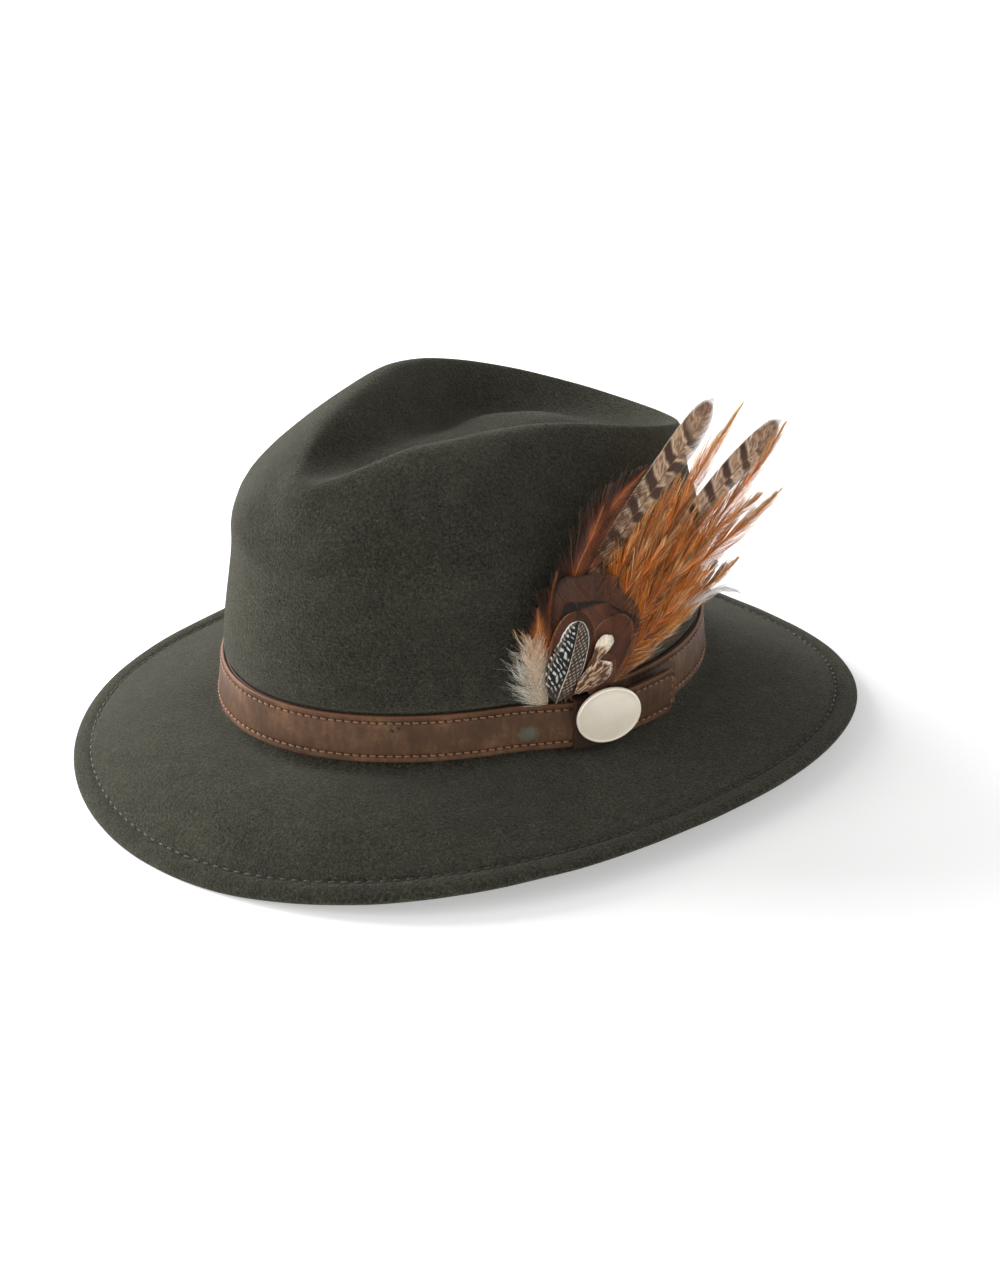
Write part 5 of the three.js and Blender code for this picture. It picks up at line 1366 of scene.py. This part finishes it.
def tint_guinea(f, q, side, across, along, rng):
    a = across
    wob = 0.35 * noise2(along / 2.6, a / 2.2 + side * 9, 24)
    if side > 0:       # black with broken white bars
        u = (along - 0.75 * a) / 2.6 + wob
        p = u % 1.0
        row = np.floor(u)
        gap = ((a / 2.3 + 0.5 * row + 0.25 * noise2(row, a / 3, 27)) % 1.0)
        bar = smooth((0.20 + 0.10 * noise2(along / 1.5, a / 1.2, 26) - np.abs(p - 0.5)) / 0.08) * smooth((0.38 - np.abs(gap - 0.5)) / 0.08) * smooth((a - 0.8) / 0.5)
        c = mixf(GN_BLK, GN_WHT, bar * (0.75 + 0.25 * noise2(along / 3, a / 2, 28)))
        c = mixf(c, srgb(116, 88, 66), smooth((q - 0.74) / 0.08) * smooth((0.90 - q) / 0.05) * 0.8)
        c = mixf(c, GN_WHT, smooth((q - 0.92) / 0.04) * smooth((f - 0.62) / 0.2))
    else:              # brown-black with white speckle in rows
        u = (along - 0.75 * a) / 1.7 + 0.6 * wob
        sp = np.abs(((u % 1.0) - 0.5)) * 2
        dots = smooth((0.50 - sp) / 0.25) * smooth((np.abs(((a / 1.5 + 0.5 * np.floor(u)) % 1.0) - 0.5) - 0.18) / 0.1)
        c = mixf(srgb(38, 26, 19), GN_BRN, 0.6 + 0.6 * noise2(along / 2, a / 2 + 60, 22))
        c = mixf(c, srgb(214, 200, 180), dots * 0.85)
        c = mixf(c, GN_BLK, smooth((q - 0.80) / 0.05) * 0.85)
        c = mixf(c, GN_WHT, smooth((q - 0.93) / 0.04))
    # darker brown toward the root: painted shade where the roots bunch at the mount
    return mixf(c, srgb(58, 42, 32), smooth((0.20 - f) / 0.1) * 0.8)


gsh = [(-21.7, 5.0), (-19.1, 11.1), (-16.5, 16.6), (-14.8, 21.7), (-13.5, 26.2), (-12.4, 30.8), (-11.3, 36.3)]
feather("guinea_spot", ["feather_guineafowl"], MAT["spotted"], "feather_spotted",
        vane(gsh, [(-23.5, 8), (-25.4, 13.5), (-25.3, 19), (-23.0, 25), (-19.6, 29.5), (-17.4, 33.2), (-14.6, 35.8), (-11.3, 36.3)],
             [(-16.5, 7), (-11.6, 11), (-8.6, 16), (-6.7, 22), (-5.9, 28), (-6.9, 32.4), (-8.8, 35.2), (-11.3, 36.3)], lay(18), 190, tint_guinea, 4201, lead=0.14, nseg=22,
             width=1.2, thick=0.05, camber=1.0, pull=0.0, ragged=0.004, curve=0.12, blunt=0.1, shaft_r=0.26, shaft_tint=srgb(206, 188, 164), vary=0.02, f0=0.0))


def tint_cream(tipf, cap):
    def f_(f, q, side, across, along, rng):
        s2 = noise2(along / 2.4, across / 0.6 + side * 8, 63)
        c = mixf(srgb(92, 58, 40), srgb(208, 176, 140), smooth((s2 - 0.05) / 0.35))
        c = mixf(c, srgb(236, 222, 198), smooth((f + 0.12 * q - tipf) / 0.12) * cap)
        return mixf(c, srgb(240, 232, 218), smooth((q - 0.88) / 0.08) * 0.85)
    return f_


feather("cream_leaf", ["feather_cream_upper"], MAT["cream"], "feather_cream",
        vane([(-6.2, 14.0), (-3.4, 18.6), (-0.4, 22.6), (4.0, 27.1)], [(-6.2, 17.0), (-4.1, 21.6), (-3.4, 24.8), (-1.6, 27.0), (0.8, 27.9), (4.0, 27.1)],
             [(-4, 15), (-0.6, 19.4), (2.9, 21.4), (4.9, 23.6), (5.0, 25.6), (4.0, 27.1)], lay(19) + 0.2, 90, tint_cream(0.62, 1.0), 4301, lead=0.12, nseg=8, width=1.2,
             thick=0.05, camber=0.7, pull=0.15, clump=8, ragged=0.02, curve=0.1, blunt=0.3, shaft_r=0.16, shaft_tint=srgb(214, 190, 158), vary=0.05))
feather("cream_low_leaf", ["feather_cream_lower"], MAT["cream"], "feather_cream",
        vane([(-14.2, 7.4), (-9.5, 10.0), (-4, 12.8), (3.6, 16.3)], [(-13.8, 9.0), (-9.3, 14.6), (-5, 17.0), (-0.9, 17.8), (3.6, 16.3)],
             [(-13, 6.6), (-7.7, 7.3), (-0.8, 8.7), (2.9, 10.6), (4.3, 13.4), (3.6, 16.3)], lay(20) + 0.2, 100, tint_cream(0.90, 0.9), 4302, lead=0.12, nseg=8, width=1.2,
             thick=0.05, camber=0.7, pull=0.15, clump=8, ragged=0.02, curve=0.1, blunt=0.3, shaft_r=0.16, shaft_tint=srgb(214, 190, 158), vary=0.05))


# --------------------------------------------------------- pad and quill wrap
def pad():
    half = [(-19, 4), (-19.5, 14), (-15, 25), (-6, 31), (4, 31), (11, 25), (13, 14), (10, 4), (7.5, 0), (7.5, -17.5), (-7.5, -17.5), (-7.5, 0)]
    line, _ = spline(half + [half[0]], 120)
    line = line[:-1]
    n = len(line)
    c = np.array([-2.0, 8.0])
    rows = []
    for sc, d in ((0.97, -0.5), (1.0, -0.35), (1.0, 0.35), (0.97, 0.5)):
        p = c + (line - c) * sc
        rows.append(fan(p[:, 0], p[:, 1], d))
    # straight tongue sides: the plane pad doesn't lean with the fan
    V = []
    for (sc, d) in ((0.97, -0.5), (1.0, -0.35), (1.0, 0.35), (0.97, 0.5)):
        p = c + (line - c) * sc
        V.append(FO + p[:, :1] * FS + p[:, 1:] * FH + d * FD)
    V = np.stack(V)
    F = [grid_faces(4, n, True, False), np.arange(n)[None, :], (np.arange(n) + 3 * n)[None, ::-1]]
    return new_mesh("mount_pad", place(V.reshape(-1, 3)), F, fgroup, MAT["pad"], ["feather_backing_pad"])


pad()


def binding():
    turns, n, r, wire = 9, 220, 0.50, 0.16
    a = np.linspace(0, turns * TAU, n)
    x = np.linspace(-3.6, 3.6, n)
    core = np.stack([x, r * np.cos(a), r * np.sin(a)], -1)
    tan = np.gradient(core, axis=0); tan /= np.linalg.norm(tan, axis=1)[:, None]
    n1 = np.stack([np.zeros(n), np.cos(a), np.sin(a)], -1)
    n2 = np.cross(tan, n1)
    k = np.arange(6) * TAU / 6
    P = core[:, None] + wire * (np.cos(k)[None, :, None] * n1[:, None] + np.sin(k)[None, :, None] * n2[:, None])
    W = FO + P[..., :1] * FS + P[..., 1:2] * FH + P[..., 2:] * FD + 1.5 * FS - 4.5 * FH + 1.5 * FD
    F = [grid_faces(n, 6, True, False), np.arange(6)[None, ::-1], (np.arange(6) + (n - 1) * 6)[None]]
    return new_mesh("quill_wrap", place(W.reshape(-1, 3)), F, fgroup, MAT["dark_thread"], ["feather_quill_binding"])


binding()

# --------------------------------------------------------------------- stage
bpy.ops.mesh.primitive_plane_add(size=30, location=(0, 0, -0.0002))
floor = bpy.context.object
floor.name = "floor"
m, nt, b = material("floor_pale")
fn = noise(nt, coords(nt), 3.0, 2, 0.5)
link(nt, ramp(nt, fn, [(0.3, (0.80, 0.80, 0.80, 1)), (0.7, (0.81, 0.81, 0.81, 1))]), b.inputs["Base Color"])
b.inputs["Roughness"].default_value = 0.9
b.inputs["Specular IOR Level"].default_value = 0.1
b.inputs["Emission Color"].default_value = (1, 1, 1, 1)
b.inputs["Emission Strength"].default_value = 0.37
floor.data.materials.append(m)

SKY_LOW, SKY_TOP = 1.45, 0.16
world = bpy.data.worlds.new("studio")
bpy.context.scene.world = world
world.use_nodes = True
wt = world.node_tree
bg = wt.nodes["Background"]
tc = wt.nodes.new("ShaderNodeTexCoord")
sp = wt.nodes.new("ShaderNodeSeparateXYZ")
sky = wt.nodes.new("ShaderNodeMapRange")       # bright walls, dim ceiling
sky.inputs["From Min"].default_value = 0.0
sky.inputs["From Max"].default_value = 0.9
sky.inputs["To Min"].default_value = SKY_LOW
sky.inputs["To Max"].default_value = SKY_TOP
link(wt, tc.outputs["Generated"], sp.inputs[0])
link(wt, sp.outputs[2], sky.inputs["Value"])
link(wt, sky.outputs["Result"], bg.inputs["Strength"])
bg.inputs["Color"].default_value = (1, 1, 1, 1)


def area(name, loc, target, size, watts, color=(1, 1, 1)):
    l = bpy.data.lights.new(name, "AREA")
    l.shape = "DISK"; l.size = size; l.energy = watts; l.color = color
    o = bpy.data.objects.new(name, l)
    bpy.context.scene.collection.objects.link(o)
    o.location = loc
    o.rotation_mode = "QUATERNION"
    o.rotation_quaternion = (Vector(target) - Vector(loc)).to_track_quat("-Z", "Y")
    return o


area("key", (-1.48, -0.42, 0.82), (0, 0, 0.08), 1.3, 42)
area("fill", (-0.35, -1.60, 1.00), (0, 0, 0.08), 1.6, 15)
area("back", (-1.45, 0.55, 0.62), (0, 0, 0.10), 0.8, 8)

# -------------------------------------------------------------------- camera
phi, el, roll = 0.7959092228902971, 0.41909889345918244, 0.009679402216124598
backv = np.array([math.sin(phi) * math.cos(el), -math.cos(phi) * math.cos(el), math.sin(el)])
right = np.array([math.cos(phi), math.sin(phi), 0.0])
upv = np.cross(backv, right)
C = np.array([986.298, -943.394, 622.621])
r2, u2 = math.cos(roll) * right + math.sin(roll) * upv, -math.sin(roll) * right + math.cos(roll) * upv
X, Y, Z = turn(r2), turn(u2), turn(backv)
cam_data = bpy.data.cameras.new("camera")
cam = bpy.data.objects.new("camera", cam_data)
bpy.context.scene.collection.objects.link(cam)
cam_data.sensor_fit = "AUTO"
cam_data.sensor_width = 36.0
cam_data.lens = math.exp(8.216803695384145) * 36.0 / 1275.0
cam_data.clip_start, cam_data.clip_end = 0.05, 60
Mx = Matrix(((X[0], Y[0], Z[0], 0), (X[1], Y[1], Z[1], 0), (X[2], Y[2], Z[2], 0), (0, 0, 0, 1)))
loc = place(C)
Mx.translation = Vector([float(v) for v in loc])
cam.matrix_world = Mx
bpy.context.scene.camera = cam
bpy.context.scene.view_settings.view_transform = "Standard"
